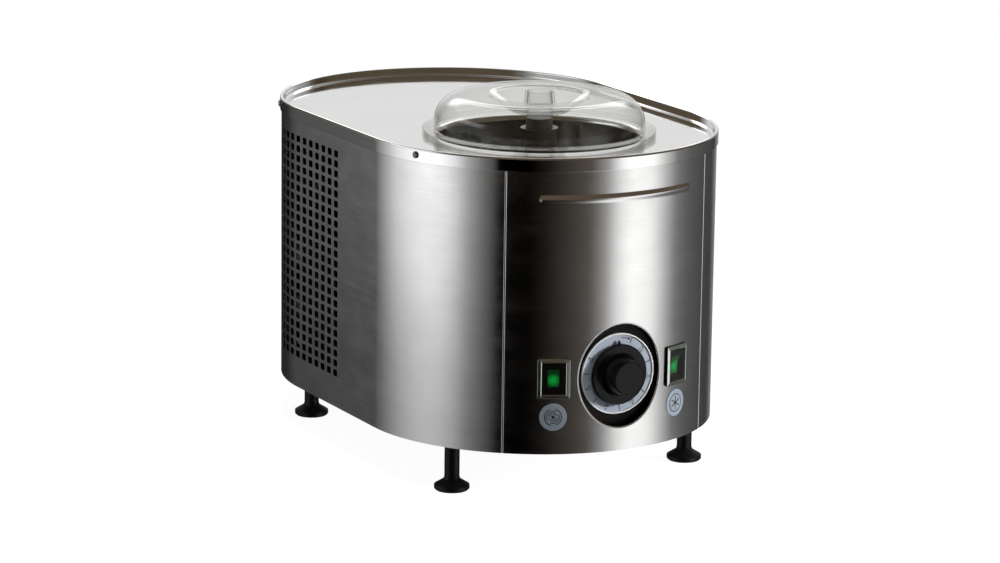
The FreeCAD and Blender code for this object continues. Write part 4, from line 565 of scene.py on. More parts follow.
def seam_edge(skin, corner, end, ease, lines_z, way, parts=5):
    """Round a sheet's folded edge from its outer face to its inner face; way is +1 where u grows into the sheet."""
    _, out = skin_place(end, 0.0)
    tangent = (out[1] * way, -out[0] * way)
    places = []
    for part in range(parts + 1):
        angle = math.pi / 2 * part / parts
        u = end + way * ease * (1 - math.sin(angle))
        normal = (out[0] * math.cos(angle) + tangent[0] * math.sin(angle),
                  out[1] * math.cos(angle) + tangent[1] * math.sin(angle), 0)
        places.append((u, ease * (1 - math.cos(angle)), normal))
    for (u0, d0, n0), (u1, d1, n1) in zip(places, places[1:]):
        for z0, z1 in zip(lines_z, lines_z[1:]):
            skin.face([corner(u0, z0, d0, normal=n0), corner(u1, z0, d1, normal=n1),
                       corner(u1, z1, d1, normal=n1), corner(u0, z1, d0, normal=n0)])
    inner = end + way * ease
    for z0, z1 in zip(lines_z, lines_z[1:]):
        skin.face([corner(end, z0, ease, inward=True), corner(inner, z0, ease, inward=True),
                   corner(inner, z1, ease, inward=True), corner(end, z1, ease, inward=True)])
    for z, up in ((lines_z[0], -1), (lines_z[-1], 1)):
        loop = [corner(u, z, depth, normal=(0, 0, up)) for u, depth, _ in places]
        skin.face(loop + [corner(inner, z, ease, normal=(0, 0, up))])


def side_casing():
    skin = Skin()
    for side in (1, -1):
        casing_half(skin, side)
    # Its inner faces take the painted shade material.
    return wear(skin.build("casing_sheet", STEEL, SHADED_INSIDE), "machine", "stainless_brushed", "side_casing")


BEAD_Z = 249.8 * MM
BEAD_HALF = 68.6 * MM
BEAD_WIDTH = 4.2 * MM
BEAD_RISE = 1.15 * MM
OPENING_HALF_WIDTH = 37.0 * MM
OPENING_HALF_HEIGHT = 42.5 * MM
OPENING_ROLL = 1.5 * MM
WINDOW_HALF_WIDTH = 11.2 * MM
WINDOW_HALF_HEIGHT = 14.5 * MM


def bead_rise(u, z):
    """Height of the pressed bead over the front sheet."""
    away = math.hypot(max(abs(u) - BEAD_HALF, 0.0), z - BEAD_Z) / BEAD_WIDTH
    return BEAD_RISE * 0.5 * (1 + math.cos(math.pi * away)) if away < 1 else 0.0


def panel_place(u, z, depth):
    """A point of the front sheet, u metres round from the middle."""
    angle = u / SKIN_RADIUS
    radius = SKIN_RADIUS - depth + bead_rise(u, z)
    return Vector((radius * math.sin(angle), -ARC_Y + SHIFT - radius * math.cos(angle), z))


def panel_corner(u, z, depth, inward=False, normal=None):
    place = panel_place(u, z, depth)
    if normal is None:
        step = 0.05 * MM
        across = panel_place(u + step, z, depth) - panel_place(u - step, z, depth)
        upward = panel_place(u, z + step, depth) - panel_place(u, z - step, depth)
        normal = across.cross(upward).normalized() * (-1 if inward else 1)
    return (place, normal, (u, z))


def front_panel():
    """Front sheet with its bead, the dial's oval opening and the switch windows."""
    skin = Skin()
    edge = SKIN_RADIUS * SEAM_ANGLE - SEAM_GAP / 2
    ease = SHEET
    reach = 43.0 * MM
    low, high = DIAL_Z - 50.0 * MM, DIAL_Z + 50.0 * MM
    windows = [side * SKIN_RADIUS * SWITCH_ANGLE for side in (-1, 1)]
    u_lines = {0.0, *spaced(-edge + ease, -reach, 4.0 * MM), *spaced(-reach, reach, 3.0 * MM),
               *spaced(reach, edge - ease, 4.0 * MM)}
    for window in windows:
        u_lines |= {window - WINDOW_HALF_WIDTH, window + WINDOW_HALF_WIDTH}
    for side in (-1, 1):
        u_lines |= {side * u for u in spaced(BEAD_HALF - 1 * MM, BEAD_HALF + BEAD_WIDTH, 0.6 * MM)}
    z_lines = {CASING_BOTTOM, CASING_TOP, SWITCH_Z - WINDOW_HALF_HEIGHT, SWITCH_Z + WINDOW_HALF_HEIGHT,
               *spaced(low, high, 3.4 * MM), *spaced(BEAD_Z - BEAD_WIDTH, BEAD_Z + BEAD_WIDTH, 0.4 * MM)}
    u_lines = thinned(u_lines)
    z_lines = thinned(z_lines)

    def cut(u0, u1, z0, z1):
        if max(abs(u0), abs(u1)) < reach + 1e-6 and z0 > low - 1e-6 and z1 < high + 1e-6:
            return True
        middle_u, middle_z = (u0 + u1) / 2, (z0 + z1) / 2
        return any(abs(middle_u - window) < WINDOW_HALF_WIDTH and abs(middle_z - SWITCH_Z) < WINDOW_HALF_HEIGHT
                   for window in windows)

    for u0, u1 in zip(u_lines, u_lines[1:]):
        for z0, z1 in zip(z_lines, z_lines[1:]):
            if cut(u0, u1, z0, z1):
                continue
            for depth, inward in ((0.0, False), (SHEET, True)):
                skin.face([panel_corner(u, z, depth, inward) for u, z in ((u0, z0), (u1, z0), (u1, z1), (u0, z1))],
                          inward)
        for z, up in ((CASING_BOTTOM, -1), (CASING_TOP, 1)):
            skin.face([panel_corner(u, z, depth, normal=(0, 0, up))
                       for u, depth in ((u0, 0.0), (u1, 0.0), (u1, SHEET), (u0, SHEET))])
    for window in windows:
        window_edges(skin, window, u_lines, z_lines)
    oval_edge(skin, [u for u in u_lines if abs(u) < reach + 1e-6], [z for z in z_lines if low - 1e-6 < z < high + 1e-6])
    for way in (1, -1):
        panel_seam(skin, -way * edge, way, ease, z_lines)
    # Its inner faces take the painted shade material.
    return wear(skin.build("front_sheet", STEEL, SHADED_INSIDE, EDGE_STEEL), "machine", "stainless_brushed", "front_panel")


def thinned(values, least=0.12 * MM):
    """Sorted values with near-duplicates dropped."""
    kept = []
    for value in sorted(values):
        if not kept or value - kept[-1] > least:
            kept.append(value)
    return kept


def window_edges(skin, window, u_lines, z_lines):
    left, right = window - WINDOW_HALF_WIDTH, window + WINDOW_HALF_WIDTH
    low, high = SWITCH_Z - WINDOW_HALF_HEIGHT, SWITCH_Z + WINDOW_HALF_HEIGHT
    across = [u for u in u_lines if left - 0.2 * MM < u < right + 0.2 * MM]
    upward = [z for z in z_lines if low - 0.2 * MM < z < high + 0.2 * MM]
    for u0, u1 in zip(across, across[1:]):
        for z, up in ((upward[0], 1), (upward[-1], -1)):
            skin.face([panel_corner(u, z, depth, normal=(0, 0, up))
                       for u, depth in ((u0, 0.0), (u1, 0.0), (u1, SHEET), (u0, SHEET))])
    for u, way in ((across[0], 1), (across[-1], -1)):
        angle = u / SKIN_RADIUS
        normal = (way * math.cos(angle), way * math.sin(angle), 0)
        for z0, z1 in zip(upward, upward[1:]):
            skin.face([panel_corner(u, z, depth, normal=normal)
                       for z, depth in ((z0, 0.0), (z1, 0.0), (z1, SHEET), (z0, SHEET))])


def oval_edge(skin, across, upward):
    """Blend the sheet's square grid into the oval opening, and round the opening's edge."""
    rim = [(u, upward[0]) for u in across] + [(across[-1], z) for z in upward[1:]]
    rim += [(u, upward[-1]) for u in reversed(across[:-1])] + [(across[0], z) for z in reversed(upward[1:-1])]
    roll = OPENING_ROLL
    rings = 5
    fans = []
    for u, z in rim:
        turn = math.atan2((z - DIAL_Z) / OPENING_HALF_HEIGHT, u / OPENING_HALF_WIDTH)
        x, rise = OPENING_HALF_WIDTH * math.cos(turn), OPENING_HALF_HEIGHT * math.sin(turn)
        out = Vector((math.cos(turn) / OPENING_HALF_WIDTH, math.sin(turn) / OPENING_HALF_HEIGHT)).normalized()
        start = Vector((SKIN_RADIUS * math.asin(x / SKIN_RADIUS), DIAL_Z + rise))
        first = start + out * roll
        fans.append((Vector((u, z)), first, start, out))
    for index, here in enumerate(fans):
        after = fans[(index + 1) % len(fans)]
        for ring in range(rings):
            a, b = ring / rings, (ring + 1) / rings
            square = [here[0].lerp(here[1], a), after[0].lerp(after[1], a),
                      after[0].lerp(after[1], b), here[0].lerp(here[1], b)]
            for depth, inward in ((0.0, False), (SHEET, True)):
                skin.face([panel_corner(p.x, p.y, depth, inward) for p in square], inward)
        steps = 8
        for part in range(steps):
            corners = []
            for fan, share in ((here, part), (after, part), (after, part + 1), (here, part + 1)):
                angle = math.pi / 2 * share / steps
                place = fan[2] + fan[3] * roll * (1 - math.sin(angle))
                radial = panel_corner(place.x, place.y, 0.0)[1]
                turn = place.x / SKIN_RADIUS
                inward = Vector((math.cos(turn) * fan[3].x, math.sin(turn) * fan[3].x, fan[3].y))
                normal = radial * math.cos(angle) - inward * math.sin(angle)
                corners.append(panel_corner(place.x, place.y, SHEET * (1 - math.cos(angle)), normal=normal))
            skin.face(corners, 2)
        skin.face([panel_corner(p.x, p.y, SHEET, True) for p in (here[1], after[1], after[2], here[2])])


def panel_seam(skin, end, way, ease, z_lines, parts=5):
    """Rounded side edge of the front sheet; way is +1 where u grows into the sheet."""
    angle = end / SKIN_RADIUS
    out = Vector((math.sin(angle), -math.cos(angle), 0))
    side = Vector((math.cos(angle), math.sin(angle), 0)) * -way
    places = []
    for part in range(parts + 1):
        turn = math.pi / 2 * part / parts
        normal = out * math.cos(turn) + side * math.sin(turn)
        places.append((end + way * ease * (1 - math.sin(turn)), ease * (1 - math.cos(turn)), normal))
    for (u0, d0, n0), (u1, d1, n1) in zip(places, places[1:]):
        for z0, z1 in zip(z_lines, z_lines[1:]):
            skin.face([panel_corner(u0, z0, d0, normal=n0), panel_corner(u1, z0, d1, normal=n1),
                       panel_corner(u1, z1, d1, normal=n1), panel_corner(u0, z1, d0, normal=n0)])
    for z0, z1 in zip(z_lines, z_lines[1:]):
        skin.face([panel_corner(end, z0, ease, True), panel_corner(end + way * ease, z0, ease, True),
                   panel_corner(end + way * ease, z1, ease, True), panel_corner(end, z1, ease, True)])
    for z, up in ((z_lines[0], -1), (z_lines[-1], 1)):
        loop = [panel_corner(u, z, depth, normal=(0, 0, up)) for u, depth, _ in places]
        skin.face(loop + [panel_corner(end + way * ease, z, ease, normal=(0, 0, up))])


# ---------------------------------------------------------------- tray
HEM = 3.2 * MM
TRAY_FILLET = 2.5 * MM


def stadium_stations():
    """Stations round the tray, each in line with a spoke from the bowl's axis."""
    lap = BODY_RADIUS - HEM - TRAY_FILLET - 3.0 * MM
    spokes = 256
    made = []
    length = 0.0
    before = None
    for index in range(spokes):
        angle = 2 * math.pi * index / spokes
        ray = Vector((math.cos(angle), math.sin(angle)))
        start = Vector((0.0, BOWL_CENTRE.y - SHIFT))
        reach = 0.0
        low, high = 0.05, 0.4
        for _ in range(40):
            reach = (low + high) / 2
            place = start + ray * reach
            foot = Vector((0.0, min(max(place.y, -ARC_Y), ARC_Y)))
            if (place - foot).length < lap:
                low = reach
            else:
                high = reach
        out = (place - foot).normalized()
        if before is not None:
            length += (place - before).length
        before = place
        made.append((0.0, foot.y + SHIFT, out.x, out.y, length))
    return made


def top_tray():
    """Drop band, rolled rim, filleted floor and the bowl's opening, as one sheet."""
    skin = Skin()
    stations = stadium_stations()
    r = BODY_RADIUS
    lap = r - HEM - TRAY_FILLET - 3.0 * MM
    under = FLOOR_TOP - SHEET
    hem = HEM / 2
    outline = [
        (r, BAND_BOTTOM, 0.25 * MM),
        (r, RIM_TOP, hem * 0.999),
        (r - HEM, RIM_TOP, hem * 0.999),
        (r - HEM, FLOOR_TOP, TRAY_FILLET),
        (lap, FLOOR_TOP, 0),
        (lap, under, 0),
        (r - HEM + SHEET, under, TRAY_FILLET + SHEET * 0.9),
        (r - HEM + SHEET, RIM_TOP - SHEET, (hem - SHEET) * 0.999),
        (r - SHEET, RIM_TOP - SHEET, (hem - SHEET) * 0.999),
        (r - SHEET, BAND_BOTTOM, 0),
    ]
    runs = [run for run in rounded(outline, 7) if not (abs(run[0][0] - lap) < 1e-9 and abs(run[-1][0] - lap) < 1e-9)]
    sweep(skin, runs, stations)
    centre = Vector((BOWL_CENTRE.x, BOWL_CENTRE.y))
    count = len(stations)
    for index in range(count):
        pair = []
        for which in (index, (index + 1) % count):
            bx, by, ox, oy, _ = stations[which]
            outer = Vector((bx + lap * ox, by + lap * oy))
            pair.append((centre + (outer - centre).normalized() * BOWL_OPENING, outer))
        for z, up in ((FLOOR_TOP, 1), (under, -1)):
            rings = 4
            for ring in range(rings):
                a, b = ring / rings, (ring + 1) / rings
                square = [pair[0][0].lerp(pair[0][1], a), pair[1][0].lerp(pair[1][1], a),
                          pair[1][0].lerp(pair[1][1], b), pair[0][0].lerp(pair[0][1], b)]
                skin.face([((p.x, p.y, z), (0, 0, up), (p.y, p.x)) for p in square])
        inward = [(centre - inner).normalized() for inner, _ in pair]
        skin.face([((pair[k][0].x, pair[k][0].y, z), (inward[k].x, inward[k].y, 0), (0.0, z))
                   for k, z in ((0, FLOOR_TOP), (1, FLOOR_TOP), (1, under), (0, under))])
    return wear(skin.build("tray_sheet", TRAY_STEEL), "machine", "stainless_polished", "top_tray")


# ---------------------------------------------------------------- turned pieces
def turned_pieces():
    bowl = lathe("bowl_shell", [
        (7.4, 195.0, 0), (75.0, 195.0, 0), (85.5, 195.0, 11.0), (85.5, 275.0, 3.4), (95.0, 275.0, 0.3),
        (95.0, 276.0, 0.2), (89.0, 276.0, 0), (89.0, 276.8, 0), (84.5, 276.8, 4.45), (84.5, 196.0, 10.0),
        (9.0, 196.0, 1.0), (9.0, 262.0, 0.3), (7.4, 262.0, 0.2),
    ], BOWL_CENTRE, BOWL_STEEL, 192, 10)
    wear(bowl, "machine", "stainless_polished", "bowl")

    hub = lathe("hub_moulding", [
        (9.4, 198.0, 0.3), (15.0, 198.0, 0.6), (15.0, 280.2, 0.4), (15.8, 280.8, 0.3), (15.8, 282.0, 0.5),
        (6.0, 282.0, 0.3), (6.0, 268.0, 0), (9.4, 268.0, 0.5),
    ], BOWL_CENTRE, HUB_BROWN, 96)
    wear(hub, "agitator", "black_plastic", "paddle_hub")

    nut = lathe("hub_nut_moulding", [
        (4.05, 282.05, 0.1), (11.6, 282.05, 0.2), (11.6, 282.7, 0.2), (11.2, 283.1, 0.2), (10.7, 290.2, 0.9),
        (0.0, 290.2, 0), (0.0, 288.7, 0), (4.05, 288.7, 0.3),
    ], BOWL_CENTRE, HUB_BROWN, 96)
    wear(nut, "hub_nut", "black_plastic", "paddle_nut")

    lid = lathe("lid_moulding", [
        (97.0, 276.85, 0.5), (97.0, 281.7, 0.9), (88.0, 281.7, 0.9), (88.0, 310.0, 24.0), (43.33, 310.0, 9.0),
        (23.62, 297.2, 3.0), (13.7, 297.2, 1.2), (11.9, 312.4, 0.7), (10.1, 312.4, 0.7), (11.9, 295.4, 0.6),
        (23.09, 295.4, 4.0), (42.8, 308.2, 7.2), (86.2, 308.2, 22.2), (86.2, 279.9, 0.6), (95.2, 279.9, 0.5),
        (95.2, 276.85, 0.4),
    ], BOWL_CENTRE, LID_CLEAR, 192, 10)
    lid.data.materials.append(TUBE_CLEAR)
    for polygon in lid.data.polygons:
        if (polygon.center.xy - BOWL_CENTRE.xy).length < 12.2 * MM:
            polygon.material_index = 1
    wear(lid, "lid", "clear_lid", "lid")

    for name in ("foot_front_left", "foot_front_right", "foot_rear_left", "foot_rear_right"):
        foot = lathe(name + "_moulding", [
            (0.0, 0.0, 0), (13.1, 0.0, 0.25), (14.6, 1.5, 0.35), (14.6, 4.5, 0.7), (7.0, 9.2, 1.4), (6.25, 11.5, 1.0),
            (6.25, 41.0, 0.3), (4.0, 41.0, 0.2), (4.0, 50.2, 0.5), (0.0, 50.2, 0),
        ], middle(name), RUBBER, 64)
        wear(foot, "machine", "black_plastic", name)


def lay_forward(piece, y):
    """Turn a piece drawn upright about the z axis so that up faces the front, on the dial's axis."""
    piece.data.transform(Matrix.Translation((0, y, DIAL_Z)) @ Matrix.Rotation(math.pi / 2, 4, "X"))
    return piece


# ---------------------------------------------------------------- dial
def dial():
    origin = Vector((0, 0, 0))
    plate = lathe("dial_face", [(5.2, -1.0, 0), (32.05, -1.0, 0), (32.05, 0.0, 0.15), (5.2, 0.0, 0)],
                  origin, DIAL_GREY, 96)
    wear(lay_forward(plate, DIAL_FACE_Y), "machine", "dial_grey", "dial_plate")
    ring = lathe("dial_bezel", [(32.15, -1.0, 0.1), (33.5, -1.0, 0.3), (33.5, 1.0, 0.6), (32.15, 1.0, 0.5)],
                 origin, DIAL_WHITE, 128)
    wear(lay_forward(ring, DIAL_FACE_Y), "machine", "dial_white", "dial_ring")

    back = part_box("timer_knob")[1].y
    knob = lathe("knob_moulding", [
        (3.0, 0.4, 0.2), (7.0, 0.4, 0.2), (7.0, 14.0, 1.0), (12.0, 14.0, 1.0), (14.0, 1.6, 0.5), (23.0, 1.6, 0.5),
        (23.0, 0.0, 0.2), (25.0, 0.0, 0.4), (25.0, 3.3, 1.0), (17.4, 3.3, 1.2), (14.0, 19.7, 0.9),
        (13.0, 19.7, 0.3), (12.7, 19.55, 0.3), (0.0, 19.55, 0), (0.0, 17.0, 0), (3.0, 17.0, 0.2),
    ], origin, KNOB_BLACK, 128, 8)
    wear(lay_forward(knob, back), "timer_dial", "black_plastic", "timer_knob")

    tip = [(-2.2 * MM, 24.0 * MM), (2.2 * MM, 24.0 * MM), (0.0, 28.1 * MM)]
    pointer = bevelled("knob_pointer", [(x, z) for x, z in tip], 0.8 * MM, 0.25 * MM, KNOB_BLACK)
    turn = Matrix(((0, 1, 0, 0), (1, 0, 0, back - 0.8 * MM), (0, 0, 1, DIAL_Z), (0, 0, 0, 1)))
    pointer.data.transform(turn)
    pointer.data.flip_normals()
    wear(pointer, "timer_dial", "black_plastic")
    dial_marks()


def strip(points, faces, outline, lift):
    """Add a thin raised mark from a counter-clockwise (x, z) outline, standing off the dial's face."""
    start = len(points)
    count = len(outline)
    front = DIAL_FACE_Y - lift
    for y in (front, DIAL_FACE_Y + 0.01 * MM):
        points.extend((x, y, DIAL_Z + z) for x, z in outline)
    faces.append([start + index for index in range(count)])
    faces.append([start + count + index for index in reversed(range(count))])
    for index in range(count):
        after = (index + 1) % count
        faces.append([start + after, start + index, start + count + index, start + count + after])


def polar_patch(inner, outer, start, end, parts):
    """An (x, z) outline between two radii; angles run clockwise from the top, in radians."""
    rim = [start + (end - start) * part / parts for part in range(parts + 1)]
    outline = [(outer * math.sin(a), outer * math.cos(a)) for a in reversed(rim)]
    return outline + [(inner * math.sin(a), inner * math.cos(a)) for a in rim]


def dial_marks():
    """Sixty-minute scale: a line at each five, a dot and a number at each ten, and a direction arc."""
    points, faces = [], []
    lift = 0.06 * MM
    step = math.radians(25.0)
    for count in range(13):
        at = count * step
        if count % 2:
            half = 0.35 * MM / (28 * MM)
            strip(points, faces, polar_patch(26.4 * MM, 31.2 * MM, at - half, at + half, 1), lift)
        elif count:
            dot = [(30.3 * MM * math.sin(at) + 0.75 * MM * math.cos(a), 30.3 * MM * math.cos(at) + 0.75 * MM * math.sin(a))
                   for a in [2 * math.pi * k / 16 for k in range(16)]]
            strip(points, faces, dot, lift)
            number(str(count * 5), 27.3 * MM, at, lift)
    arc = (math.radians(6), math.radians(19))
    strip(points, faces, polar_patch(29.4 * MM, 30.1 * MM, *arc, 8), lift)
    head = math.radians(23)
    strip(points, faces, [(math.sin(arc[1]) * 31.0 * MM, math.cos(arc[1]) * 31.0 * MM),
                          (math.sin(arc[1]) * 28.5 * MM, math.cos(arc[1]) * 28.5 * MM),
                          (math.sin(head) * 29.75 * MM, math.cos(head) * 29.75 * MM)], lift)
    mesh = bpy.data.meshes.new("dial_scale")
    mesh.from_pydata(points, [], faces)
    mesh.materials.append(INK)
    scale = bpy.data.objects.new("dial_scale", mesh)
    bpy.context.scene.collection.objects.link(scale)
    wear(scale, "machine", "dial_grey")


def number(text, radius, at, lift):
    """A number of the scale, upright towards the dial's middle."""
    curve = bpy.data.curves.new("number_" + text, "FONT")
    curve.body = text
    curve.size = 4.4 * MM
    curve.align_x = "CENTER"
    curve.align_y = "CENTER"
    curve.extrude = lift / 2
    curve.resolution_u = 4
    curve.materials.append(INK)
    label = bpy.data.objects.new("number_" + text, curve)
    bpy.context.scene.collection.objects.link(label)
    bpy.context.view_layer.update()
    mesh = bpy.data.meshes.new_from_object(label.evaluated_get(bpy.context.evaluated_depsgraph_get()))
    bpy.data.objects.remove(label)
    place = Matrix.Translation((radius * math.sin(at), DIAL_FACE_Y - lift / 2, DIAL_Z + radius * math.cos(at)))
    mesh.transform(place @ Matrix.Rotation(math.pi / 2, 4, "X") @ Matrix.Rotation(-at, 4, "Z"))
    made = bpy.data.objects.new("number_" + text, mesh)
    bpy.context.scene.collection.objects.link(made)
    wear(made, "machine", "dial_grey")


# ---------------------------------------------------------------- switches
def on_front(side):
    """Places a piece drawn about the origin, facing -Y, at a switch's spot on the front."""
    angle = side * SWITCH_ANGLE
    place = (SKIN_RADIUS * math.sin(angle), -ARC_Y + SHIFT - SKIN_RADIUS * math.cos(angle), SWITCH_Z)
    return Matrix.Translation(place) @ Matrix.Rotation(angle, 4, "Z")


def oblong(half_width, half_height, corner, parts=6):
    """Stations round an upright rounded rectangle: base x, base z, out x, out z, length."""
    made = []
    length = 0.0
    for quarter in range(4):
        sx = 1 if quarter in (0, 3) else -1
        sz = 1 if quarter in (0, 1) else -1
        for part in range(parts + 1):
            angle = math.pi / 2 * (quarter + part / parts)
            made.append((sx * (half_width - corner), sz * (half_height - corner), math.cos(angle), math.sin(angle), length))
            length += corner * math.pi / 2 / parts if part < parts else 2 * min(half_width, half_height)
    return made


def framed(name, half_width, half_height, corner, outline, material, caps=()):
    """Carry an outline of (outset, height towards the front, fillet) round a rounded rectangle, with flat caps."""
    skin = Skin()
    stations = oblong(half_width * MM, half_height * MM, corner * MM)
    runs = rounded([((corner + r) * MM, z * MM, fillet * MM) for r, z, fillet in outline], 4)
    sweep(skin, [run for run in runs if not is_cap(run, caps, corner)], stations)
    for r, z, up in caps:
        reach = (corner + r) * MM
        skin.face([((bx + reach * ox, by + reach * oy, z * MM), (0, 0, up), (bx + reach * ox, by + reach * oy))
                   for bx, by, ox, oy, _ in stations])
    piece = skin.build(name, material)
    piece.data.transform(Matrix.Rotation(math.pi / 2, 4, "X"))
    return piece


def is_cap(run, caps, corner):
    """True for the run that closes an outline along a cap's inside edge."""
    return bool(caps) and all(abs(r - (corner + caps[0][0]) * MM) < 1e-9 for r, _, _, _ in run)


ROCKER_TILT = math.radians(8.0)
ROCKER_PIVOT = 3.6 * MM


def tilted(piece):
    pivot = Matrix.Translation((0, ROCKER_PIVOT, 0))
    piece.data.transform(pivot @ Matrix.Rotation(ROCKER_TILT, 4, "X") @ pivot.inverted())
    return piece


def switches():
    for label, side in (("left", -1), ("right", 1)):
        place = on_front(side)
        bezel = framed(label + "_switch_bezel", 13.25, 16.5, 1.6, [
            (0.0, 0.05, 0.0), (0.0, 1.2, 0.45), (-4.45, 1.2, 0.3), (-4.45, -13.0, 0.0), (-2.15, -13.0, 0.0), (-2.15, 0.05, 0.0),
        ], GLOSS_BLACK)
        bezel.data.transform(place)
        wear(bezel, "machine", "black_gloss", label + "_switch_body")
        floor = bevelled(label + "_switch_floor", rectangle(13.0, 20.0, 14.3), 11.0 * MM, 0.3 * MM, GLOSS_BLACK)
        floor.data.transform(place)
        wear(floor, "machine", "black_gloss")
        for index, z in enumerate((-9.0, 0.0, 9.0)):
            blade = [(19.0 * MM, (z - 0.4) * MM), (28.0 * MM, (z - 0.4) * MM), (28.0 * MM, (z + 0.4) * MM), (19.0 * MM, (z + 0.4) * MM)]
            terminal = bevelled(f"{label}_switch_terminal_{index}", blade, 3.0 * MM, 0.2 * MM, PLATED)
            terminal.data.transform(place)
            wear(terminal, "machine", "black_gloss")

        slope = [(0.4, 11.4), (2.0, 0.0), (0.4, -11.4), (6.4, -8.0), (6.4, 8.0)]
        rocker = bevelled(label + "_rocker_moulding", [(y * MM, z * MM) for y, z in slope], 8.5 * MM, 0.35 * MM, GLOSS_BLACK)
        tilted(rocker).data.transform(place)
        wear(rocker, label + "_rocker", "black_gloss", label + "_switch_rocker")
        glass = [(0.75, 7.4), (1.83, 0.0), (0.75, -7.4), (1.6, -7.4), (2.6, 0.0), (1.6, 7.4)]
        lens = bevelled(label + "_lens_moulding", [(y * MM, z * MM) for y, z in glass], 4.7 * MM, 0.15 * MM, GREEN)
        tilted(lens).data.transform(place)
        wear(lens, label + "_rocker", "green_lens", label + "_switch_lens")

        cover = framed(label + "_cover_moulding", 13.25, 16.5, 1.6, [
            (-1.2, 1.25, 0.0), (0.0, 1.25, 0.1), (0.0, 1.75, 0.4), (-2.6, 2.4, 0.7), (-3.3, 1.9, 0.0),
            (-3.4, 1.9, 0.0), (-2.9, 1.6, 0.1), (-1.4, 1.45, 0.1),
        ], COVER_CLEAR)
        cover.data.transform(place)
        wear(cover, "machine", "clear_cover", label + "_switch_cover")
        pane = framed(label + "_cover_pane", 9.85, 13.1, 0.6,
                      [(0.0, 1.6, 0.0), (0.0, 2.0, 0.0), (-0.3, 2.0, 0.0), (-0.3, 1.6, 0.0)],
                      PANE_CLEAR, caps=((-0.3, 2.0, 1), (-0.3, 1.6, -1)))
        pane.data.transform(place)
        wear(pane, "machine", "clear_cover")
        badge(label, side)


def rectangle(y0, y1, half_height):
    return [(y0 * MM, -half_height * MM), (y1 * MM, -half_height * MM), (y1 * MM, half_height * MM), (y0 * MM, half_height * MM)]


# ---------------------------------------------------------------- badges
def wrapped(side, across, upward, lift):
    """A point standing lift above the front skin, across and upward from a badge's middle."""
    angle = side * SWITCH_ANGLE + across / SKIN_RADIUS
    radius = SKIN_RADIUS + lift
    out = Vector((math.sin(angle), -math.cos(angle), 0))
    return Vector((0, -ARC_Y + SHIFT, BADGE_Z + upward)) + out * radius, out


def disc(name, side, rings, material):
    """A thin closed disc or ring on the skin: rings of (radius, lift, lean outwards)."""
    skin = Skin()
    parts = 96
    for (r0, l0, t0), (r1, l1, t1) in zip(rings, rings[1:]):
        for part in range(parts):
            corners = []
            for share, (r, lift, lean) in ((part, (r0, l0, t0)), (part + 1, (r0, l0, t0)), (part + 1, (r1, l1, t1)), (part, (r1, l1, t1))):
                turn = 2 * math.pi * share / parts
                place, out = wrapped(side, r * math.cos(turn), r * math.sin(turn), lift)
                level = Vector((-out.y, out.x, 0)) * math.cos(turn) + Vector((0, 0, 1)) * math.sin(turn)
                normal = (out * math.cos(lean) + level * math.sin(lean)).normalized()
                corners.append((place, normal, (r * math.cos(turn), r * math.sin(turn))))
            skin.face(corners)
    return skin.build(name, material)


def arc_mark(name, side, inner, outer, start, end, material):
    """A printed arc on a badge, in degrees counter-clockwise from its right."""
    skin = Skin()
    parts = max(2, round((end - start) / 6))
    low, high = 0.44 * MM, 0.54 * MM
    turns = [math.radians(start + (end - start) * part / parts) for part in range(parts + 1)]

    def corner(r, turn, lift, lean):
        place, out = wrapped(side, r * math.cos(turn), r * math.sin(turn), lift)
        level = Vector((-out.y, out.x, 0)) * math.cos(turn) + Vector((0, 0, 1)) * math.sin(turn)
        return (place, (out * math.cos(lean) + level * math.sin(lean)), (r * turn, r))

    for a, b in zip(turns, turns[1:]):
        skin.face([corner(inner, a, high, 0), corner(outer, a, high, 0), corner(outer, b, high, 0), corner(inner, b, high, 0)])
        skin.face([corner(inner, a, low, math.pi), corner(outer, a, low, math.pi), corner(outer, b, low, math.pi), corner(inner, b, low, math.pi)])
        skin.face([corner(outer, a, low, math.pi / 2), corner(outer, b, low, math.pi / 2), corner(outer, b, high, math.pi / 2), corner(outer, a, high, math.pi / 2)])
        skin.face([corner(inner, a, low, -math.pi / 2), corner(inner, b, low, -math.pi / 2), corner(inner, b, high, -math.pi / 2), corner(inner, a, high, -math.pi / 2)])
    return skin.build(name, material)


def bar_mark(name, side, turn, half_length, half_width, material):
    """A printed bar through a badge's middle."""
    skin = Skin()
    low, high = 0.44 * MM, 0.54 * MM
    along = Vector((math.cos(turn), math.sin(turn)))
    over = Vector((-along.y, along.x))
    parts = 6
    for part in range(parts):
        ends = [half_length * (2 * share / parts - 1) for share in (part, part + 1)]
        corners = [along * ends[0] - over * half_width, along * ends[1] - over * half_width,
                   along * ends[1] + over * half_width, along * ends[0] + over * half_width]
        for lift, way in ((high, 1), (low, -1)):
            made = []
            for corner in corners:
                place, out = wrapped(side, corner.x, corner.y, lift)
                made.append((place, out * way, (corner.x, corner.y)))
            skin.face(made)
        for first, second, way in ((0, 1, -1), (3, 2, 1)):
            made = []
            for corner, lift in ((corners[first], low), (corners[second], low), (corners[second], high), (corners[first], high)):
                place, out = wrapped(side, corner.x, corner.y, lift)
                level = Vector((-out.y, out.x, 0)) * over.x + Vector((0, 0, 1)) * over.y
                made.append((place, level * way, (corner.x, lift)))
            skin.face(made)
    return skin.build(name, material)


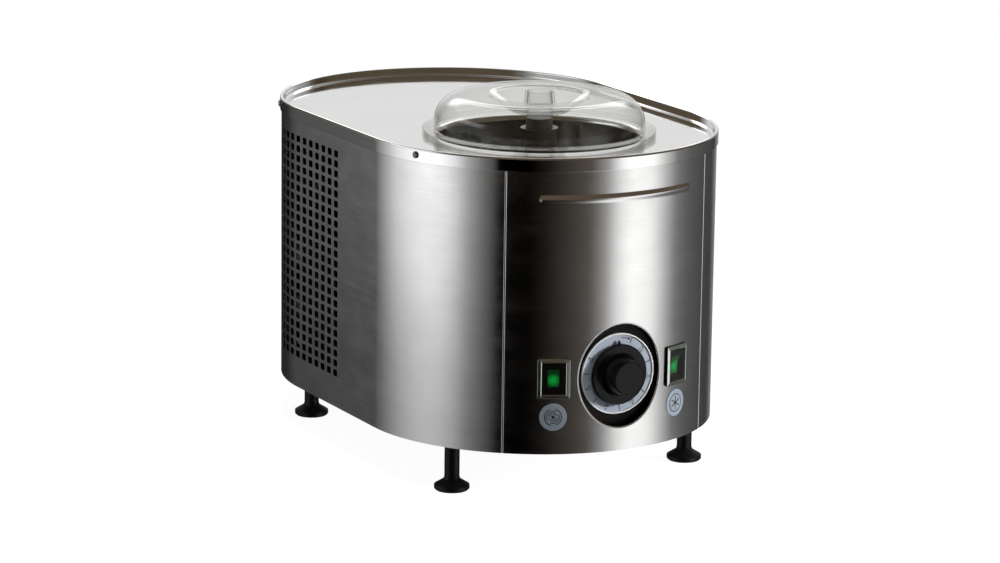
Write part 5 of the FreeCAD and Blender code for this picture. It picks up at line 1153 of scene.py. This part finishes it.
def badge(label, side):
    """A round badge with a generic shape: rings round a dot, or crossed bars in a ring."""
    edge = 0.12 * MM
    r, thick = 11.25 * MM, 0.49 * MM
    base = disc(label + "_badge_disc", side, [
        (0.0, 0.0, math.pi), (r, 0.0, math.pi), (r, 0.0, math.pi / 2), (r, thick - edge, math.pi / 2),
        (r - edge * 0.3, thick - edge * 0.3, math.pi / 4), (r - edge, thick, 0.0), (r / 2, thick, 0.0), (0.0, thick, 0.0),
    ], BADGE_GREY)
    wear(base, "machine", "badge_grey", label + "_badge")
    marks = []
    if side < 0:
        marks.append(arc_mark(label + "_badge_dot", side, 0.0, 1.5 * MM, 0, 360, BADGE_INK))
        for index, (r0, gaps) in enumerate(((2.7, 20), (4.6, 60), (6.5, 110))):
            for half in (0, 1):
                start = gaps + half * 180
                marks.append(arc_mark(f"{label}_badge_ring_{index}_{half}", side, r0 * MM, (r0 + 0.75) * MM,
                                      start, start + 150, BADGE_INK))
    else:
        marks.append(arc_mark(label + "_badge_ring", side, 7.0 * MM, 7.8 * MM, 0, 360, BADGE_INK))
        for index in range(3):
            marks.append(bar_mark(f"{label}_badge_bar_{index}", side, math.radians(30 + 60 * index), 5.8 * MM, 0.5 * MM, BADGE_INK))
    for mark in marks:
        wear(mark, "machine", "badge_grey")


# ---------------------------------------------------------------- finishes of the CAD pieces that show as they are
FINISHES = {
    "tray_screws": DARK_STEEL, "base_plate": PLATE_STEEL, "foot_nuts": TURNED_STEEL,
    "evaporator_coil": COPPER, "bowl_insulation": FOAM, "bowl_bush": BRONZE, "shaft_seal": RUBBER,
    "drive_spindle": TURNED_STEEL, "paddle_blades": TURNED_STEEL,
    "gearbox_housing": CAST, "gearbox_cover": CAST, "gearbox_screws": TURNED_STEEL, "spindle_bearings": BRONZE,
    "output_gear": NYLON, "intermediate_gear": NYLON, "intermediate_shaft": TURNED_STEEL,
    "motor_pinion": TURNED_STEEL, "motor_rotor": TURNED_STEEL, "drive_motor": ENAMEL, "motor_end_cap": CAST,
    "dial_bracket": BRACKET_BLACK, "timer_body": BLACK, "timer_shaft": TURNED_STEEL,
    "compressor_shell": ENAMEL, "compressor_grommets": RUBBER, "start_relay": BLACK, "run_capacitor": WHITE,
    "condenser_fins": ENAMEL, "condenser_tubes": ENAMEL, "fan_shroud": PLATE_STEEL, "fan_motor": ENAMEL,
    "fan_blade": BLACK, "filter_drier": COPPER, "refrigerant_pipes": COPPER,
    "power_inlet": BLACK, "inlet_pins": PLATED,
}


def finish_cad_pieces():
    for name, material in FINISHES.items():
        mesh = nodes[name].data
        mesh.materials.clear()
        mesh.materials.append(material)


# ---------------------------------------------------------------- studio
# Tones of the studio's lower surround, as the steel shows them: (bearing in degrees from +X, tone, tint).
NEUTRAL = (1.0, 1.0, 1.0)
COOL = (0.985, 0.990, 1.010)
WARM = (1.12, 0.98, 0.86)
BROWN = (1.0, 0.76, 0.52)
LOWER_TONES = [
    (0, 0.09, NEUTRAL), (24, 0.05, NEUTRAL), (32, 0.24, NEUTRAL), (42, 0.34, NEUTRAL),
    (60, 0.42, NEUTRAL), (72, 0.20, NEUTRAL), (82, 0.02, NEUTRAL), (105, 0.03, NEUTRAL), (113, 0.075, NEUTRAL),
    (125, 0.11, NEUTRAL), (141, 0.58, NEUTRAL), (152, 0.95, COOL), (164, 1.20, COOL), (176, 1.36, COOL),
    (186, 1.30, COOL), (195, 0.98, COOL), (204, 0.45, NEUTRAL), (213, 0.19, NEUTRAL), (219, 0.09, NEUTRAL),
    (222, 0.0, NEUTRAL), (240, 0.0, NEUTRAL), (250, 0.012, WARM), (262, 0.048, WARM), (274, 0.09, WARM),
    (283, 0.36, NEUTRAL), (291, 1.10, NEUTRAL), (299, 1.45, NEUTRAL), (312, 1.30, NEUTRAL), (322, 0.66, NEUTRAL),
    (332, 0.22, NEUTRAL), (345, 0.12, NEUTRAL),
]
# The same higher up: a light back that the tray mirrors, and dark brown round the rest.
UPPER_TONES = [
    (0, 0.06, BROWN), (8, 0.14, BROWN), (16, 0.36, NEUTRAL), (32, 0.52, NEUTRAL), (44, 0.84, NEUTRAL),
    (84, 0.84, NEUTRAL), (92, 0.45, NEUTRAL), (101, 0.11, BROWN), (122, 0.11, BROWN), (134, 0.50, NEUTRAL),
    (174, 0.55, NEUTRAL), (186, 0.25, NEUTRAL), (196, 0.11, BROWN), (346, 0.11, BROWN), (358, 0.06, BROWN),
]
# Higher still, over what the tray mirrors: white cards that light the clear lid's shoulders.
HIGH_TONES = [
    (0, 0.06, BROWN), (24, 0.30, NEUTRAL), (40, 2.60, NEUTRAL), (88, 2.60, NEUTRAL), (98, 0.11, BROWN),
    (128, 0.11, BROWN), (140, 2.20, NEUTRAL), (172, 2.20, NEUTRAL), (184, 0.11, BROWN), (350, 0.11, BROWN),
]
# How much of the lower surround's fall towards the floor each bearing gets.
FADE_TONES = [(0, 0.15), (110, 0.35), (135, 1.0), (205, 0.9), (225, 0.4), (300, 0.15)]
CEILING_FRONT = (0.100, 0.076, 0.052)
CEILING_BACK = (0.45, 0.45, 0.44)
SURROUND_RADIUS = 1.1
SURROUND_TOP = 1.5


def tone_ramp(make, bearing, tones):
    """A ramp round the horizon from (degrees, tone, tint) entries."""
    ramp = make.node("ValToRGB")
    elements = ramp.color_ramp.elements
    while len(elements) > 1:
        elements.remove(elements[0])
    for index, (degrees, tone, tint) in enumerate(tones + [(360, *tones[0][1:])]):
        element = elements[0] if index == 0 else elements.new(degrees / 360.0)
        element.position = degrees / 360.0
        element.color = (*[tone * part for part in tint], 1)
    make.link(bearing, ramp.inputs["Fac"])
    return ramp.outputs["Color"]


def surround():
    """A studio wall seen only in reflections: light and dark screens low down, a light back and a dark front above."""
    make = Shader("studio_surround")
    where = make.node("NewGeometry")
    split = make.node("SeparateXYZ")
    make.link(where.outputs["Position"], split.inputs["Vector"])
    angle = make.node("Math", operation="ARCTAN2")
    make.link(split.outputs["Y"], angle.inputs[0])
    make.link(split.outputs["X"], angle.inputs[1])
    turns = make.node("Math", operation="DIVIDE")
    turns.inputs[1].default_value = 2 * math.pi
    make.link(angle.outputs[0], turns.inputs[0])
    wrapped_turns = make.node("Math", operation="WRAP")
    wrapped_turns.inputs[1].default_value = 1.0
    wrapped_turns.inputs[2].default_value = 0.0
    make.link(turns.outputs[0], wrapped_turns.inputs[0])
    bearing = wrapped_turns.outputs[0]
    lower = tone_ramp(make, bearing, LOWER_TONES)
    upper = tone_ramp(make, bearing, UPPER_TONES)

    fade = make.span(split.outputs["Z"], 0.40, 1.0, -0.17, 0.05)
    left = tone_ramp(make, bearing, [(degrees, tone, NEUTRAL) for degrees, tone in FADE_TONES])
    dim = make.node("Mix", data_type="FLOAT")
    dim.inputs["A"].default_value = 1.0
    make.link(left, dim.inputs["Factor"])
    make.link(fade, dim.inputs["B"])
    shaded = make.node("Mix", data_type="RGBA", blend_type="MULTIPLY")
    shaded.inputs["Factor"].default_value = 1.0
    make.link(lower, shaded.inputs["A"])
    make.link(dim.outputs["Result"], shaded.inputs["B"])

    rise = make.span(split.outputs["Z"], 0.0, 1.0, 0.16, 0.30)
    whole = make.node("Mix", data_type="RGBA")
    make.link(rise, whole.inputs["Factor"])
    make.link(shaded.outputs["Result"], whole.inputs["A"])
    make.link(upper, whole.inputs["B"])
    carded = make.node("Mix", data_type="RGBA")
    make.link(make.span(split.outputs["Z"], 0.0, 1.0, 0.66, 0.70), carded.inputs["Factor"])
    make.link(whole.outputs["Result"], carded.inputs["A"])
    make.link(tone_ramp(make, bearing, HIGH_TONES), carded.inputs["B"])
    overhead = make.node("Mix", data_type="RGBA")
    make.link(make.span(split.outputs["Z"], 0.0, 1.0, 0.94, 0.98), overhead.inputs["Factor"])
    make.link(carded.outputs["Result"], overhead.inputs["A"])
    along = make.span(split.outputs["Y"], 0.0, 1.0, 0.05, 0.45)
    make.link(make.mix(along, CEILING_FRONT, CEILING_BACK), overhead.inputs["B"])
    glow = make.node("Emission")
    make.link(overhead.outputs["Result"], glow.inputs["Color"])
    make.link(glow.outputs["Emission"], make.output.inputs["Surface"])

    skin = Skin()
    outline = [[(0.0, -1.2, 0, 1), (SURROUND_RADIUS, -1.2, 0, 1)],
               [(SURROUND_RADIUS, -1.2, -1, 0), (SURROUND_RADIUS, SURROUND_TOP, -1, 0)],
               [(SURROUND_RADIUS, SURROUND_TOP, 0, -1), (0.0, SURROUND_TOP, 0, -1)]]
    sweep(skin, outline, circle(0, 0, 1.0, 96))
    wall = skin.build("studio_surround", make.material)
    wall.visible_camera = False
    wall.visible_diffuse = False
    wall.visible_transmission = False
    wall.visible_shadow = False
    wall.visible_volume_scatter = False


def studio_floor():
    make = Shader("studio_floor")
    make.link(make.mix(make.span(make.noise((3, 3, 3)), 0.0, 1.0), (0.28, 0.28, 0.28), (0.30, 0.30, 0.30)),
              make.surface.inputs["Base Color"])
    make.set(Roughness=0.9, Specular_IOR_Level=0.0, Emission_Color=(1, 1, 1, 1), Emission_Strength=0.945)
    skin = Skin()
    reach = 12.0
    skin.face([((x, y, 0.0), (0, 0, 1), (x, y)) for x, y in ((-reach, -reach), (reach, -reach), (reach, reach), (-reach, reach))])
    floor = skin.build("studio_floor", make.material)
    floor.visible_glossy = False
    floor.visible_diffuse = False


def backdrop():
    """A bright seamless background that only the camera sees."""
    make = Shader("studio_backdrop")
    glow = make.node("Emission")
    shade = make.span(make.noise((0.4, 0.4, 0.4)), 1.02, 1.05)
    make.link(shade, glow.inputs["Strength"])
    make.link(glow.outputs["Emission"], make.output.inputs["Surface"])
    skin = Skin()
    reach = 11.0
    outline = [[(reach, -0.5, -1, 0), (reach, 12.0, -1, 0)], [(reach, 12.0, 0, -1), (0.0, 12.0, 0, -1)]]
    sweep(skin, outline, circle(0, 0, 1.0, 64))
    screen = skin.build("studio_backdrop", make.material)
    screen.visible_diffuse = False
    screen.visible_glossy = False
    screen.visible_transmission = False
    screen.visible_shadow = False


def softbox(name, place, size, power, target=(0, 0, 0.2)):
    lamp = bpy.data.lights.new(name, "AREA")
    lamp.shape = "RECTANGLE"
    lamp.size, lamp.size_y = size
    lamp.energy = power
    holder = bpy.data.objects.new(name, lamp)
    bpy.context.scene.collection.objects.link(holder)
    holder.location = place
    holder.rotation_euler = (Vector(target) - Vector(place)).to_track_quat("-Z", "Y").to_euler()
    holder.visible_glossy = False


def studio():
    world = bpy.data.worlds.new("studio")
    world.use_nodes = True
    world.node_tree.nodes["Background"].inputs["Color"].default_value = (1.0, 1.0, 1.0, 1)
    world.node_tree.nodes["Background"].inputs["Strength"].default_value = 0.15
    bpy.context.scene.world = world
    studio_floor()
    surround()
    backdrop()
    softbox("key_right", (0.95, -0.85, 0.42), (0.24, 0.24), 18.0)
    softbox("fill_top", (-0.35, -0.60, 1.30), (0.50, 0.40), 5.0)
    bpy.context.scene.view_settings.view_transform = "Standard"


# ---------------------------------------------------------------- camera
CAMERA_BEARING = math.radians(-28.115)
CAMERA_RISE = math.radians(12.658)
CAMERA_ROLL = math.radians(0.785)
CAMERA_DISTANCE = 3.34185
CAMERA_LENS = 140.986


def camera():
    """Looks at the machine's middle from the front left, slightly above."""
    az, el = CAMERA_BEARING, CAMERA_RISE
    back = Vector((math.sin(az) * math.cos(el), -math.cos(az) * math.cos(el), math.sin(el)))
    right = Vector((math.cos(az), math.sin(az), 0))
    up = back.cross(right)
    rolled_right = right * math.cos(CAMERA_ROLL) + up * math.sin(CAMERA_ROLL)
    rolled_up = up * math.cos(CAMERA_ROLL) - right * math.sin(CAMERA_ROLL)
    target = Vector((0, SHIFT, 135.017 * MM)) + right * 6.081 * MM
    place = target + back * CAMERA_DISTANCE
    lens = bpy.data.cameras.new("camera")
    lens.lens = CAMERA_LENS
    lens.sensor_width = 36.0
    lens.clip_end = 60.0
    made = bpy.data.objects.new("camera", lens)
    bpy.context.scene.collection.objects.link(made)
    made.matrix_world = Matrix((
        (rolled_right.x, rolled_up.x, back.x, place.x),
        (rolled_right.y, rolled_up.y, back.y, place.y),
        (rolled_right.z, rolled_up.z, back.z, place.z),
        (0, 0, 0, 1),
    ))
    bpy.context.scene.camera = made


side_casing()
front_panel()
top_tray()
turned_pieces()
dial()
switches()
finish_cad_pieces()
studio()
camera()
